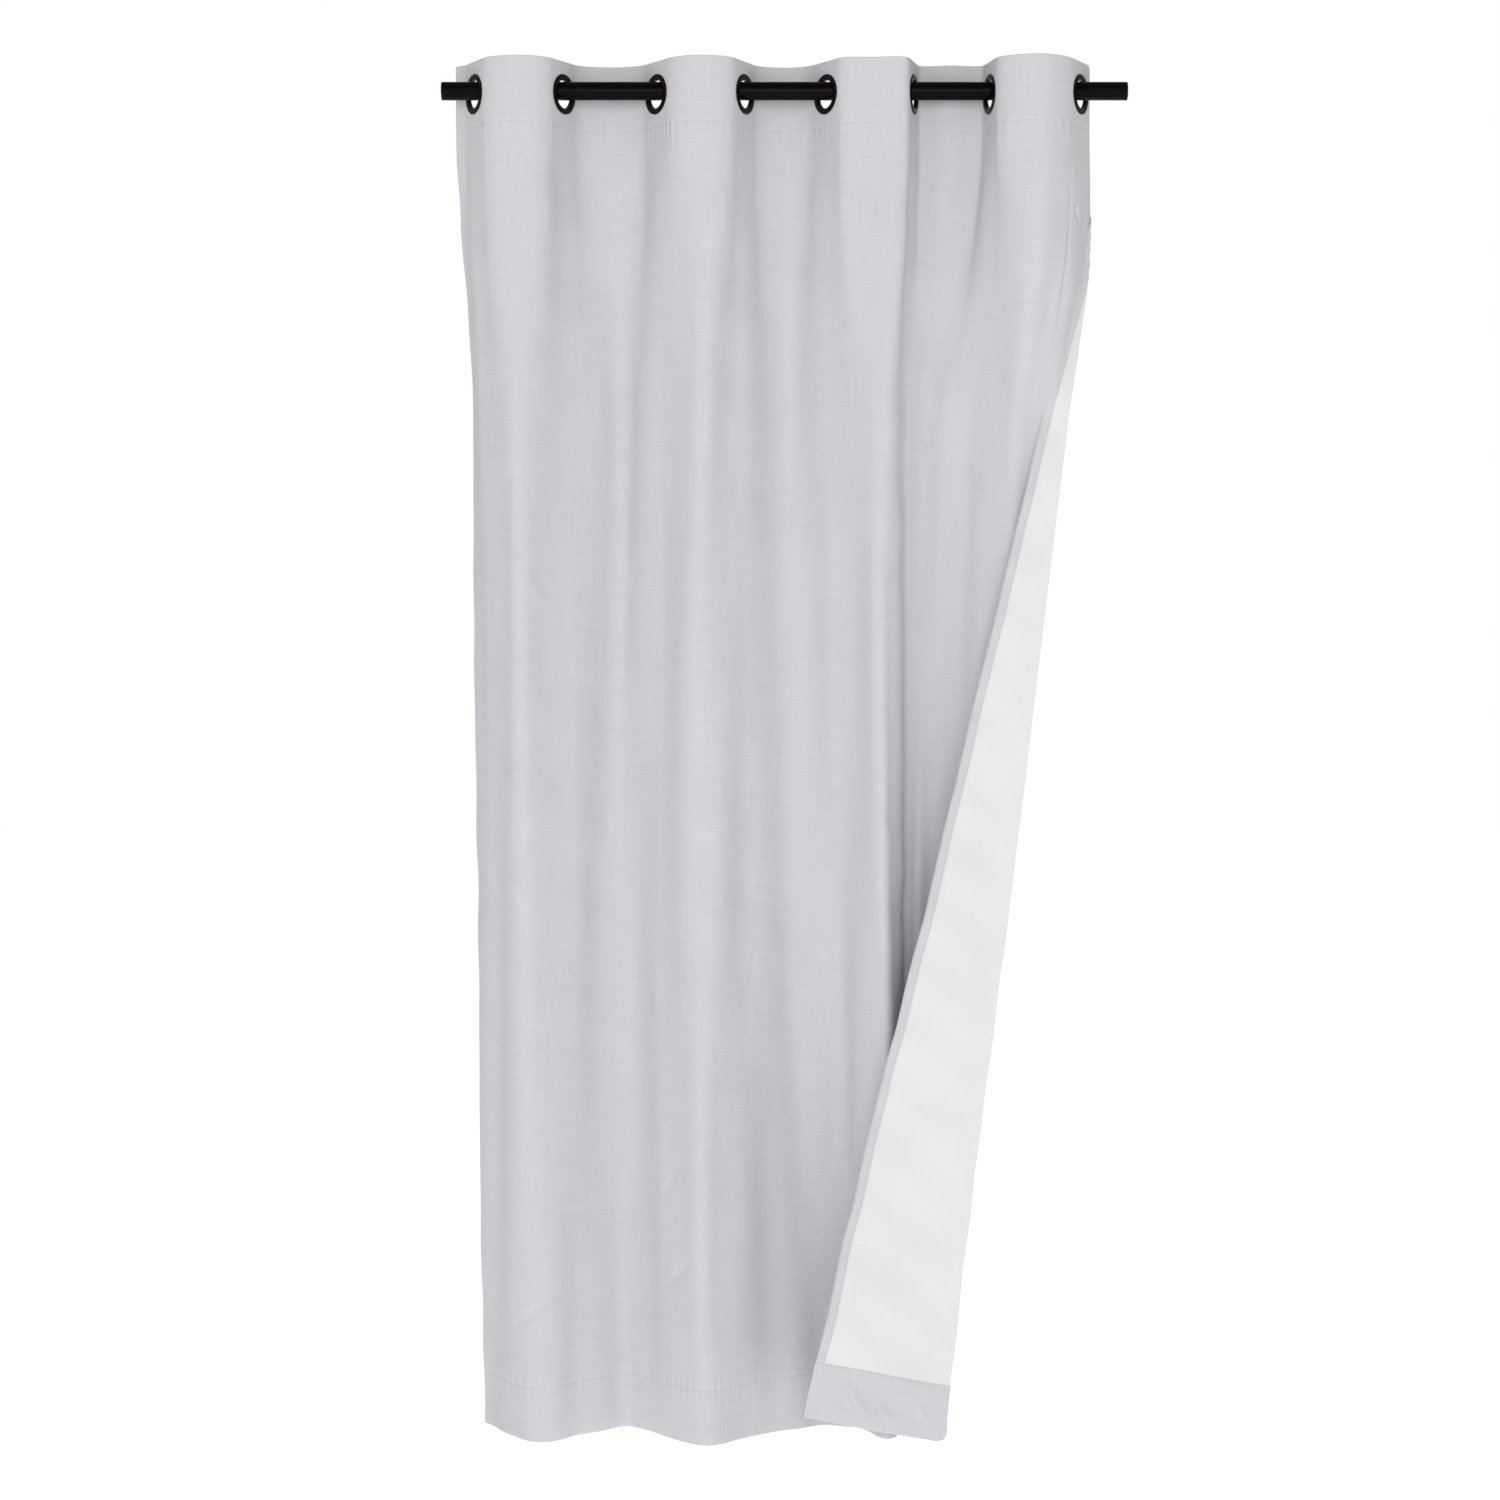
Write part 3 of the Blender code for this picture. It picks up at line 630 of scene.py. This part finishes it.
def weave_group():
    """Plain weave with thicker slubs along both sets of threads, on a flat cloth in metres."""
    tree, given, out = group_tree(
        "plain_weave", "ShaderNodeTree",
        [("Flat cloth", "NodeSocketVector", None), ("Threads per metre", "NodeSocketFloat", 1200.0),
         ("Slubs per metre", "NodeSocketFloat", 500.0), ("Slub share", "NodeSocketFloat", 0.5)],
        [("Shade", "NodeSocketFloat"), ("Height", "NodeSocketFloat")])
    flat = add_node(tree, "ShaderNodeSeparateXYZ", [(0, given["Flat cloth"])])
    rate = math_node(tree, "MULTIPLY", given["Threads per metre"], math.pi)
    waves = [math_node(tree, "SINE", math_node(tree, "MULTIPLY", flat.outputs[k], rate)) for k in (0, 1)]
    over = math_node(tree, "MULTIPLY", waves[0], waves[1])
    slubs = []
    for stretch in ((1, 0.035, 1), (0.05, 1, 1)):
        scaled = add_node(tree, "ShaderNodeVectorMath", [(0, given["Flat cloth"]), (1, stretch)],
                          operation="MULTIPLY")
        slubs.append(noise(tree, scaled.outputs[0], given["Slubs per metre"]))
    both = math_node(tree, "MULTIPLY", math_node(tree, "ADD", slubs[0], slubs[1]), 0.5)
    shade = spread_out(tree, both, 0.32, 0.68)
    tree.links.new(shade, out["Shade"])
    tree.links.new(mixed(tree, given["Slub share"], over, shade), out["Height"])
    return tree


WEAVE = weave_group()


def woven(name, dark, light, threads, slubs, slub_share, contrast, bump, **constants):
    """Cloth: threads and slubs, with slow changes of shade over the width."""
    made, tree, shader = start_material(name, **constants)
    flat = add_node(tree, "ShaderNodeUVMap", uv_map="flat_cloth").outputs[0]
    weave = use_group(tree, WEAVE, [("Flat cloth", flat), ("Threads per metre", threads),
                                    ("Slubs per metre", slubs), ("Slub share", slub_share)])
    patches = use_group(tree, CLOUDY, [("Place", flat), ("Patches per metre", 7.0), ("Grains per metre", 90.0),
                                       ("Grain share", 0.45)])
    shade = mixed(tree, contrast, patches.outputs["Shade"], weave.outputs["Shade"])
    coat_shader(tree, shader, shade, (dark, light), (0.95, 0.82), weave.outputs["Height"], bump, 0.0003)
    return made


COTTON = woven("slubbed_cotton", (0.548, 0.545, 0.571), (0.645, 0.640, 0.668), 1300, 420, 0.55, 0.55, 0.35,
               Sheen_Weight=0.08, Sheen_Roughness=0.5, Specular_IOR_Level=0.2)

# The strips between grommets, and where a bend would start and end at rod height for the first six; only their count
# is used.
CRESTS = [END_MARGIN + i * PITCH for i in range(1, 7)]
STRIP_EDGES = [0.0, *CRESTS, PANEL_WIDTH]
BENDS = [(0.0874, 0.171), (0.2076, 0.3135), (0.348, 0.4506), (0.4796, 0.574), (0.6345, 0.7055), (0.7625, 0.8056)]


def go_with_pleats(piece, k):
    """Strip k is fixed in the world where it is drawn. The last one, past grommet 7, slides whole."""
    if k == len(BENDS):
        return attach(piece, "leading")
    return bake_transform(piece)


CORNER_MARGIN = 0.0025  # how far before the crease the turned corner's own cloth starts
HOLE_RADIUS = GROMMET_BORE / 2 + SHANK_WALL + FIT_GAP + 0.0004
COLUMN = 0.0034
LAST_COLUMN = 0.0023  # the last strip has the tightest folds
ROW = 0.0085


def rows_down_from(drop):
    """Spans from a drop to the end of the hem band, finer at the seam and round the bottom."""
    seam, turn = HEM_SEAM - 0.003, PANEL_LENGTH - 0.006
    return ((drop, HEM_SEAM - 0.05, ROW), (HEM_SEAM - 0.05, seam, 0.006), (seam, HEM_SEAM + 0.004, 0.0010),
            (HEM_SEAM + 0.004, turn, 0.006), (turn, PANEL_LENGTH + 0.006, 0.0009),
            (PANEL_LENGTH + 0.006, PANEL_LENGTH + HEM_DEPTH, 0.009))


face_rows = stops(
    (-HEADER_DEPTH, -0.004, 0.0045), (-0.004, 0.004, 0.0007), (0.004, HEADER_SEAM - 0.003, 0.0045),
    (HEADER_SEAM - 0.003, HEADER_SEAM + 0.004, 0.0010), (HEADER_SEAM + 0.004, APEX_DROP, 0.006),
    *rows_down_from(APEX_DROP))
HOLE_ROW = GROMMET_DROP + BAND_DEPTH * (math.pi / 2 - 1)


def strip_columns(k, step, inset=0.0):
    start, end = STRIP_EDGES[k], STRIP_EDGES[k + 1]
    if k == 0:
        return stops((inset, END_MARGIN, step), (END_MARGIN, end, step))
    if k == 6:
        return stops((start, PANEL_WIDTH - END_MARGIN, step), (PANEL_WIDTH - END_MARGIN, PANEL_WIDTH - 0.013, step),
                     (PANEL_WIDTH - 0.013, PANEL_WIDTH - CORNER_MARGIN, step),
                     (PANEL_WIDTH - CORNER_MARGIN, PANEL_WIDTH - inset, step))
    return stops((start, end, step))


def strip_cloth(k, columns, rows, holes):
    """Flat points and faces of strip k, with its grommets' holes cut and the turned corner left off."""
    flat, faces = grid(columns, rows)
    for row in holes:
        for i in range(GROMMET_COUNT):
            centre = np.array((END_MARGIN + i * PITCH, row))
            if columns[0] - 0.01 < centre[0] < columns[-1] + 0.01:
                flat, faces = cut_round(flat, faces, centre, HOLE_RADIUS)
    edge = PANEL_WIDTH - CORNER_MARGIN - 1e-6
    return flat, [f for f in faces if not (flat[f[0]][0] >= edge and min(flat[i][1] for i in f) > APEX_DROP - 1e-6)]


def layer_of_strips(name, surface, columns, rows, holes, thickness, finish, layers):
    """The seven strips of one cloth. layers are the CAD's names for what each strip stands for."""
    made = []
    for k in range(7):
        flat, faces = strip_cloth(k, columns(k), rows, holes)
        piece = thin_cloth(f"{name}_{k + 1}", surface, flat, faces, thickness, finish)
        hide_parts(*(f"{layer}_{pleat_name(k)}" for layer in layers))
        go_with_pleats(piece, k)
        made.append(piece)
    return made


face_strips = layer_of_strips(
    "face_cloth", face_surface, lambda k: strip_columns(k, COLUMN if k < 6 else LAST_COLUMN), face_rows,
    (HOLE_ROW, -HOLE_ROW), FACE_THICKNESS, COTTON, ("face", "header_band", "bottom_hem"))


# A strip of buckram, woven stiff and bonded, lies inside the heading between the face and the header band. The
# shanks of the grommets go through it.
BUCKRAM = woven("bonded_buckram", (0.72, 0.72, 0.69), (0.84, 0.84, 0.81), 800, 300, 0.3, 0.5, 0.3,
                Specular_IOR_Level=0.25)
LINING_TUCK = 0.013
EDGE_INSET = 0.0015
STIFFENER_THICKNESS = 0.0005
STIFFENER_STEP = 0.0055
stiffener_rows = stops((EDGE_INSET, HEADER_DEPTH - LINING_TUCK - FIT_GAP, STIFFENER_STEP))
stiffener_strips = layer_of_strips(
    "buckram", at_depth(hang, 0.0), lambda k: strip_columns(k, STIFFENER_STEP, EDGE_INSET), stiffener_rows,
    (GROMMET_DROP,), STIFFENER_THICKNESS, BUCKRAM, ("header_stiffener",))


# The lining is a white, dense, acrylic-backed cloth. It is tucked under the header band and the side and bottom
# hems, and hangs a little free of the face between them.
LINING = woven("coated_lining", (0.700, 0.700, 0.710), (0.768, 0.768, 0.778), 1900, 700, 0.7, 0.3, 0.10,
               Specular_IOR_Level=0.35, Sheen_Weight=0.05)
LINING_THICKNESS = 0.0005
SIDE_HEM_WIDTH = 0.013
LINING_BELLY = 0.0035
LINING_COLUMN = 0.005


def lining_surface(s, drop):
    free = ease((drop - HEADER_DEPTH - 0.01) / 0.2) * ease((PANEL_LENGTH - HEM_DEPTH - 0.01 - drop) / 0.15)
    free = free * ease((s - 0.018) / 0.03) * ease((PANEL_WIDTH - 0.028 - s) / 0.03)
    belly = 0.55 + 0.45 * np.sin(8.3 * s + 1.9 * drop) * np.cos(5.1 * drop - 3 * s)
    return hang(s, drop, LINING_BELLY * free * belly)


lining_rows = stops((HEADER_DEPTH - LINING_TUCK, APEX_DROP, 0.008), (APEX_DROP, HEM_SEAM - 0.05, 0.012),
                    (HEM_SEAM - 0.05, PANEL_LENGTH - EDGE_INSET, 0.008))
lining_strips = layer_of_strips(
    "lining_cloth", lining_surface, lambda k: strip_columns(k, LINING_COLUMN, EDGE_INSET), lining_rows, (),
    LINING_THICKNESS, LINING, ("lining",))


# One lower corner is turned over to the room about a straight crease, so that its lining and the backs of its
# hems show. The cloth goes round the crease in a small fold and then lies nearly flat on the panel.
FLAP_BASE = 0.230
FLAP_STAND_OFF = 12.0
JOIN_DROP = 0.60  # above this the corner is still curling over, below it the crease is straight
CREASE_DEPTH = STACK / 2 + 0.0002
ARC = 0.004  # flat length of the cloth in the fold
FOLD_MARGIN = 0.0065  # flat length past the fold of the piece that goes round it
TURN_ANGLE = -math.radians(180 - FLAP_STAND_OFF)
# Short creases across the turned hem: start and end as (flat distance from the fold, drop), and height.
FLAP_CREASES = [((0.165, 2.065), (0.125, 2.125), 0.0013), ((0.120, 2.080), (0.085, 2.130), 0.0012),
                ((0.180, 2.090), (0.150, 2.130), -0.0010), ((0.055, 2.070), (0.020, 2.125), 0.0012)]
FLAP_CREASE_WIDTH = 0.006


def edge_of_panel(drop):
    """The crease: just in front of the panel's edge."""
    return hang(np.full_like(drop, PANEL_WIDTH), drop, np.full_like(drop, -CREASE_DEPTH))


crease_upper, crease_lower = edge_of_panel(np.array((SHOULDER_DROP, PANEL_LENGTH)))
crease_along = Vector(crease_upper - crease_lower).normalized()
TURN = np.array(Matrix.Rotation(TURN_ANGLE, 3, crease_along))


def corner_width(drop):
    """Flat distance from the crease to the free edge of the corner, with the cloth in the fold."""
    return ARC * ease((drop - APEX_DROP) / 0.03) + FLAP_BASE * np.maximum(drop - APEX_DROP, 0) / (
        PANEL_LENGTH - APEX_DROP)


def corner_billow(q, drop):
    """How far the turned corner stands out of its plane, towards the room."""
    grow = ease(q / 0.05)
    billow = grow * (0.0022 * np.sin(9 * drop + 14 * q) + 0.0013 * np.sin(31 * drop - 22 * q + 1)
                     + 0.0007 * np.sin(64 * drop + 30 * q))
    for crease in FLAP_CREASES:
        billow += ridge(q, drop, *crease, FLAP_CREASE_WIDTH)
    return billow


def corner_at(u, drop, depth):
    """Points of the corner at flat distance u past the crease. Below 0 is still the panel, up to ARC the fold."""
    on_panel = hang(PANEL_WIDTH + np.minimum(u, 0), drop, depth)
    drop = drop + lifted(np.maximum(u, 0), drop) - lifted(np.zeros_like(u), drop)
    origin = edge_of_panel(drop)
    radius = depth + CREASE_DEPTH
    q = np.maximum(u - ARC, 0)
    flap = origin + np.column_stack([q, radius + corner_billow(q, drop), np.zeros_like(q)]) @ TURN.T
    start = hang(np.full_like(u, PANEL_WIDTH), drop, depth) - origin
    end = np.column_stack([np.zeros_like(q), radius, np.zeros_like(q)]) @ TURN.T
    a0, a1 = np.arctan2(start[:, 1], start[:, 0]), np.arctan2(end[:, 1], end[:, 0])
    a0 = np.where(a0 < a1, a0 + 2 * math.pi, a0)
    t = np.clip(u / ARC, 0, 1)
    angle = a0 + (a1 - a0) * t
    r = np.hypot(start[:, 0], start[:, 1]) * (1 - t) + np.hypot(end[:, 0], end[:, 1]) * t
    fold = origin + np.column_stack([r * np.cos(angle), r * np.sin(angle), end[:, 2] * t])
    return np.where((u <= 0)[:, None], on_panel, np.where((u < ARC)[:, None], fold, flap))


def ruled(shares, rows, low, high, drop_of=lambda p: p):
    """Flat points and quads between two side lines, given as functions of drop. Their distances along the
    width go on from the panel's."""
    flat, faces = grid(shares, rows)
    drop = drop_of(flat[:, 1])
    flat[:, 0] = low(drop) + (high(drop) - low(drop)) * flat[:, 0]
    flat[:, 0] += PANEL_WIDTH
    return flat, faces


def drop_along_face(p):
    return cloth_section(p)[0]


def level(value):
    return lambda drop: np.full_like(drop, value)


def free_edge(inset=0.0):
    return lambda drop: corner_width(drop) - inset


def shifted(surface):
    """The same surface measured from the panel's left edge, so that its flat place goes on from the panel's."""
    return lambda s, p: surface(s - PANEL_WIDTH, p)


def cut_size(flat, faces):
    """Width, length and area of a piece as it lies flat."""
    ring = flat[np.array(faces)]
    after = np.roll(ring, -1, axis=1)
    area = abs((ring[..., 0] * after[..., 1] - ring[..., 1] * after[..., 0]).sum()) / 2
    return tuple(flat.max(axis=0) - flat.min(axis=0)), float(area)


corner_face = shifted(wrapped(corner_at))
corner_lining, corner_hem = (shifted(at_depth(corner_at, depth)) for depth in (0.0, BAND_DEPTH))
curl_shares = np.linspace(0, 1, 27) ** 2
curl_rows = stops((APEX_DROP, JOIN_DROP, ROW))
low_rows = stops(*rows_down_from(JOIN_DROP))
lining_low_rows = stops((JOIN_DROP, HEM_SEAM - 0.05, ROW), (HEM_SEAM - 0.05, PANEL_LENGTH - EDGE_INSET, 0.006))
hem_top_rows = stops((HEADER_DEPTH + FIT_GAP, APEX_DROP, ROW), (APEX_DROP, JOIN_DROP, ROW))
hem_low_rows = stops((JOIN_DROP, PANEL_LENGTH - HEM_DEPTH - FIT_GAP, ROW))
fold_shares = np.linspace(0, 1, 17)
flap_shares = np.linspace(0, 1, 49)
hem_shares = np.linspace(0, 1, 6)
low_edge = level(-CORNER_MARGIN)
past_fold = ARC + FOLD_MARGIN

corner_pieces, corner_sizes = {}, {}
for part, shares, rows, lining_low, low, high in (
        ("curl", curl_shares, curl_rows, curl_rows, low_edge, free_edge()),
        ("fold", fold_shares, low_rows, lining_low_rows, low_edge, level(past_fold)),
        ("flap", flap_shares, low_rows, lining_low_rows, level(past_fold), free_edge())):
    flat, faces = ruled(shares, rows, low, high, drop_along_face)
    corner_sizes["face", part] = cut_size(flat, faces)
    # The face runs inside the fold, in less than the 13 mm of its flat mesh. The width kept for it is the way it
    # takes round the fold here, so that its measured area says little about the cloth.
    if part == "fold":
        width = CORNER_MARGIN + FOLD_MARGIN + (CREASE_DEPTH - BAND_DEPTH) * abs(TURN_ANGLE)
        length = corner_sizes["face", part][0][1]
        corner_sizes["face", part] = (width, length), width * length
    corner_pieces["face", part] = thin_cloth(f"corner_{part}_face", corner_face, flat, faces,
                                             FACE_THICKNESS, COTTON)
    inset = high if part == "fold" else free_edge(EDGE_INSET)
    flat, faces = ruled(shares, lining_low, low, inset)
    corner_sizes["lining", part] = cut_size(flat, faces)
    corner_pieces["lining", part] = thin_cloth(f"corner_{part}_lining", corner_lining, flat, faces,
                                               LINING_THICKNESS, LINING)


# A narrow double hem is turned back over the lining along each side and sewn down. The one along the leading
# edge goes round with the corner, so it is made in two lengths.
side_hem_surface = at_depth(hang, BAND_DEPTH)
left_rows = stops((HEADER_DEPTH + FIT_GAP, PANEL_LENGTH - HEM_DEPTH - FIT_GAP, 0.009))
flat, faces = grid(stops((EDGE_INSET, EDGE_INSET + SIDE_HEM_WIDTH, 0.0026)), left_rows)
left_hem = thin_cloth("side_hem_cloth_left", side_hem_surface, flat, faces, FACE_THICKNESS, COTTON)
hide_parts("side_hem_left")
go_with_pleats(left_hem, 0)

corner_hems = {}
for part, rows in (("top", hem_top_rows), ("low", hem_low_rows)):
    flat, faces = ruled(hem_shares, rows, free_edge(EDGE_INSET + SIDE_HEM_WIDTH), free_edge(EDGE_INSET))
    corner_hems[part] = thin_cloth(f"side_hem_cloth_{part}", corner_hem, flat, faces, FACE_THICKNESS,
                                   COTTON)


def curl_over(piece):
    """Fixes the top of the corner in the world where it is drawn."""
    low = Vector(edge_of_panel(np.array([JOIN_DROP]))[0])
    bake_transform(piece)


def round_fold(piece):
    """Fixes the fold in the world where it is drawn."""
    across = Vector((0, -1, 0))
    across -= crease_along * across.dot(crease_along)
    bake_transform(piece)


def turn_with_corner(piece):
    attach(piece, "corner_flap")


for cloth_kind, slot_name in (("face", "face_cotton"), ("lining", "thermal_lining")):
    for part, go in (("curl", curl_over), ("fold", round_fold), ("flap", turn_with_corner)):
        go(corner_pieces[cloth_kind, part])
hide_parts("face_flap", "bottom_hem_flap")
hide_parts("lining_flap")
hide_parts("side_hem_leading")
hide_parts("side_hem_flap")
curl_over(corner_hems["top"])
turn_with_corner(corner_hems["low"])


# The header band, the bottom hem and the side hems are sewn with a plain lockstitch in grey thread, which shows
# on both faces of the cloth.
THREAD = coated("twisted_thread", (0.50, 0.50, 0.53), (0.62, 0.62, 0.65), 0.7, 0.9, 80, 2500, 0.6, 0.2,
                Specular_IOR_Level=0.2)
STITCH_SPACING = 0.0042
STITCH_LENGTH = 0.0030
THREAD_THICKNESS = 0.00045


def stitch_tree():
    tree, given, out = group_tree(
        "lockstitches", "GeometryNodeTree",
        [("Seam", "NodeSocketGeometry", None), ("Spacing", "NodeSocketFloat", STITCH_SPACING),
         ("Stitch length", "NodeSocketFloat", STITCH_LENGTH), ("Thread", "NodeSocketFloat", THREAD_THICKNESS),
         ("Finish", "NodeSocketMaterial", None), ("Seed", "NodeSocketInt", 5)],
        [("Stitches", "NodeSocketGeometry")])
    line = add_node(tree, "GeometryNodeMeshToCurve", [("Mesh", given["Seam"])])
    spots = add_node(tree, "GeometryNodeCurveToPoints", [("Curve", line.outputs[0]), ("Length", given["Spacing"])],
                     mode="LENGTH")
    bead = add_node(tree, "GeometryNodeMeshUVSphere", [("Segments", 6), ("Rings", 4), ("Radius", 0.5)])
    pull = add_node(tree, "FunctionNodeRandomValue", [(2, 0.85), (3, 1.1), ("Seed", given["Seed"])])
    longer = add_node(tree, "ShaderNodeMath", [(0, pull.outputs[1]), (1, given["Stitch length"])],
                      operation="MULTIPLY")
    size = add_node(tree, "ShaderNodeCombineXYZ", [(0, given["Thread"]), (1, given["Thread"]),
                                                   (2, longer.outputs[0])])
    placed = add_node(tree, "GeometryNodeInstanceOnPoints",
                      [("Points", spots.outputs["Points"]), ("Instance", bead.outputs[0]),
                       ("Rotation", spots.outputs["Rotation"]), ("Scale", size.outputs[0])])
    real = add_node(tree, "GeometryNodeRealizeInstances", [(0, placed.outputs[0])])
    smooth = add_node(tree, "GeometryNodeSetShadeSmooth", [(0, real.outputs[0])])
    done = add_node(tree, "GeometryNodeSetMaterial", [("Geometry", smooth.outputs[0]),
                                                      ("Material", given["Finish"])])
    tree.links.new(done.outputs[0], out["Stitches"])
    return tree


STITCHES = stitch_tree()


def stitch_run(name, lines):
    """Stitches along the given lines of points, as one plain mesh."""
    points, edges = [], []
    for line in lines:
        first = len(points)
        points += [tuple(p) for p in line]
        edges += [(first + i, first + i + 1) for i in range(len(line) - 1)]
    mesh = bpy.data.meshes.new(name + "_seam")
    mesh.from_pydata(points, edges, [])
    seam = put_in_scene(name + "_seam", mesh)
    modifier = seam.modifiers.new("lockstitches", "NODES")
    modifier.node_group = STITCHES
    sockets = {i.name: i.identifier for i in STITCHES.interface.items_tree if i.in_out == "INPUT"}
    for label, value in (("Spacing", STITCH_SPACING), ("Stitch length", STITCH_LENGTH),
                         ("Thread", THREAD_THICKNESS), ("Finish", THREAD), ("Seed", len(lines))):
        modifier[sockets[label]] = value
    bpy.context.view_layer.update()
    made = bpy.data.meshes.new_from_object(seam.evaluated_get(bpy.context.evaluated_depsgraph_get()))
    bpy.data.objects.remove(seam)
    made.name = name
    obj = put_in_scene(name, made)
    return obj


THREAD_PROUD = 0.00005  # how far a stitch's middle stands off the cloth


def seam_line(surface, start, end, steps, row=None, column=None, offset=0.0):
    """Points along a row or a column of a surface, moved off it along its normal."""
    run = np.linspace(start, end, steps)
    s = run if row is not None else (column(run) if callable(column) else np.full_like(run, column))
    p = np.full_like(run, row) if row is not None else run
    return surface(s, p) + normals(surface, s, p) * offset


SEW_OFFSET = FACE_THICKNESS / 2 + THREAD_PROUD
SIDE_SEAM = EDGE_INSET + SIDE_HEM_WIDTH - 0.0022
SEAM_END = 0.004  # a side seam stops this far from the header's and the hem's
row_shift = HOLE_ROW - GROMMET_DROP
HEADER_FRONT, HEADER_BACK = HEADER_SEAM + row_shift, -HEADER_SEAM - row_shift
HEM_FRONT = HEM_SEAM
HEM_BACK = 2 * PANEL_LENGTH - HEM_SEAM
for k in range(7):
    start, end = STRIP_EDGES[k], STRIP_EDGES[k + 1]
    inner, outer = start + (0.003 if k == 0 else 0.0005), end - (0.0075 if k == 6 else 0.0005)
    lines = [seam_line(face_surface, inner, outer, 90, row=row, offset=SEW_OFFSET)
             for row in (HEADER_FRONT, HEADER_BACK, HEM_FRONT, HEM_BACK)]
    if k == 0:
        lines += [seam_line(surface, HEADER_DEPTH + SEAM_END, HEM_SEAM - SEAM_END, 300, column=SIDE_SEAM,
                            offset=offset)
                  for surface, offset in ((face_surface, SEW_OFFSET), (side_hem_surface, -SEW_OFFSET))]
    stitches = stitch_run(f"stitches_{k + 1}", lines)
    go_with_pleats(stitches, k)


def corner_seam(drop):
    return PANEL_WIDTH + corner_width(drop) - SIDE_SEAM


hem_end = PANEL_WIDTH + corner_width(np.array([HEM_SEAM]))[0] - 0.003
top_stitches = stitch_run("stitches_corner_top", [
    seam_line(corner_hem, HEADER_DEPTH + SEAM_END, JOIN_DROP, 90, column=corner_seam,
              offset=-SEW_OFFSET)])
curl_over(top_stitches)
low_stitches = stitch_run("stitches_corner_low", [
    seam_line(corner_hem, JOIN_DROP, HEM_SEAM - SEAM_END, 250, column=corner_seam, offset=-SEW_OFFSET),
    *(seam_line(corner_face, PANEL_WIDTH + past_fold, hem_end, 90, row=row, offset=SEW_OFFSET)
      for row in (HEM_BACK, HEM_FRONT))])
turn_with_corner(low_stitches)


# What each cloth was cut to before it was hung: the width and length of each strip, which are those of the flat
# panel. They are worked out here and not used further.
for k in range(7):
    width = STRIP_EDGES[k + 1] - STRIP_EDGES[k]
    length = lining_rows[-1] - lining_rows[0]


# The room: a plain pale floor that glows a little, even light from all round, and large soft lamps in front that
# give the folds their shape.
FLOOR_Z = -2.125
FLOOR_REACH = 14.0
SURROUND = 0.36  # brightness of the room as the pieces see it, where the backdrop itself shows as 1
floor_paint, floor_tree, floor_shader = start_material("pale_floor", Specular_IOR_Level=0.1, Roughness=0.9,
                                                       Emission_Color=(1, 1, 1, 1), Emission_Strength=0.72)
floor_place = add_node(floor_tree, "ShaderNodeTexCoord").outputs["Object"]
floor_patches = use_group(floor_tree, CLOUDY, [("Place", floor_place), ("Patches per metre", 0.7),
                                               ("Grains per metre", 6.0), ("Grain share", 0.3)])
floor_tree.links.new(between(floor_tree, floor_patches.outputs["Shade"], (0.93, 0.93, 0.93), (0.97, 0.97, 0.97)),
                     floor_shader.inputs["Base Color"])
floor = mesh_piece("floor", [(x * FLOOR_REACH, y * FLOOR_REACH, FLOOR_Z)
                             for x, y in ((-1, -1), (1, -1), (1, 1), (-1, 1))], [(0, 1, 2, 3)], floor_paint)
world = bpy.data.worlds.new("studio")
world.use_nodes = True
sky = world.node_tree
seen = add_node(sky, "ShaderNodeLightPath").outputs["Is Camera Ray"]
strength = add_node(sky, "ShaderNodeMapRange", [(0, seen), (3, SURROUND), (4, 1.0)]).outputs[0]
sky.nodes["Background"].inputs["Color"].default_value = (1, 1, 1, 1)
sky.links.new(strength, sky.nodes["Background"].inputs["Strength"])
bpy.context.scene.world = world
bpy.context.scene.view_settings.view_transform = "Standard"


def soft_lamp(name, place, target, size, power):
    lamp = bpy.data.lights.new(name, "AREA")
    lamp.shape = "RECTANGLE"
    lamp.size, lamp.size_y = size
    lamp.energy = power
    obj = put_in_scene(name, lamp)
    obj.location = place
    obj.rotation_euler = (Vector(target) - Vector(place)).to_track_quat("-Z", "Y").to_euler()


PANEL_MIDDLE = (0.5, 0, -1.0)
soft_lamp("front", (0.7, -6.4, 0.3), PANEL_MIDDLE, (4.4, 2.6), 146)
soft_lamp("left", (-3.2, -4.8, 0.4), PANEL_MIDDLE, (1.6, 2.4), 20)
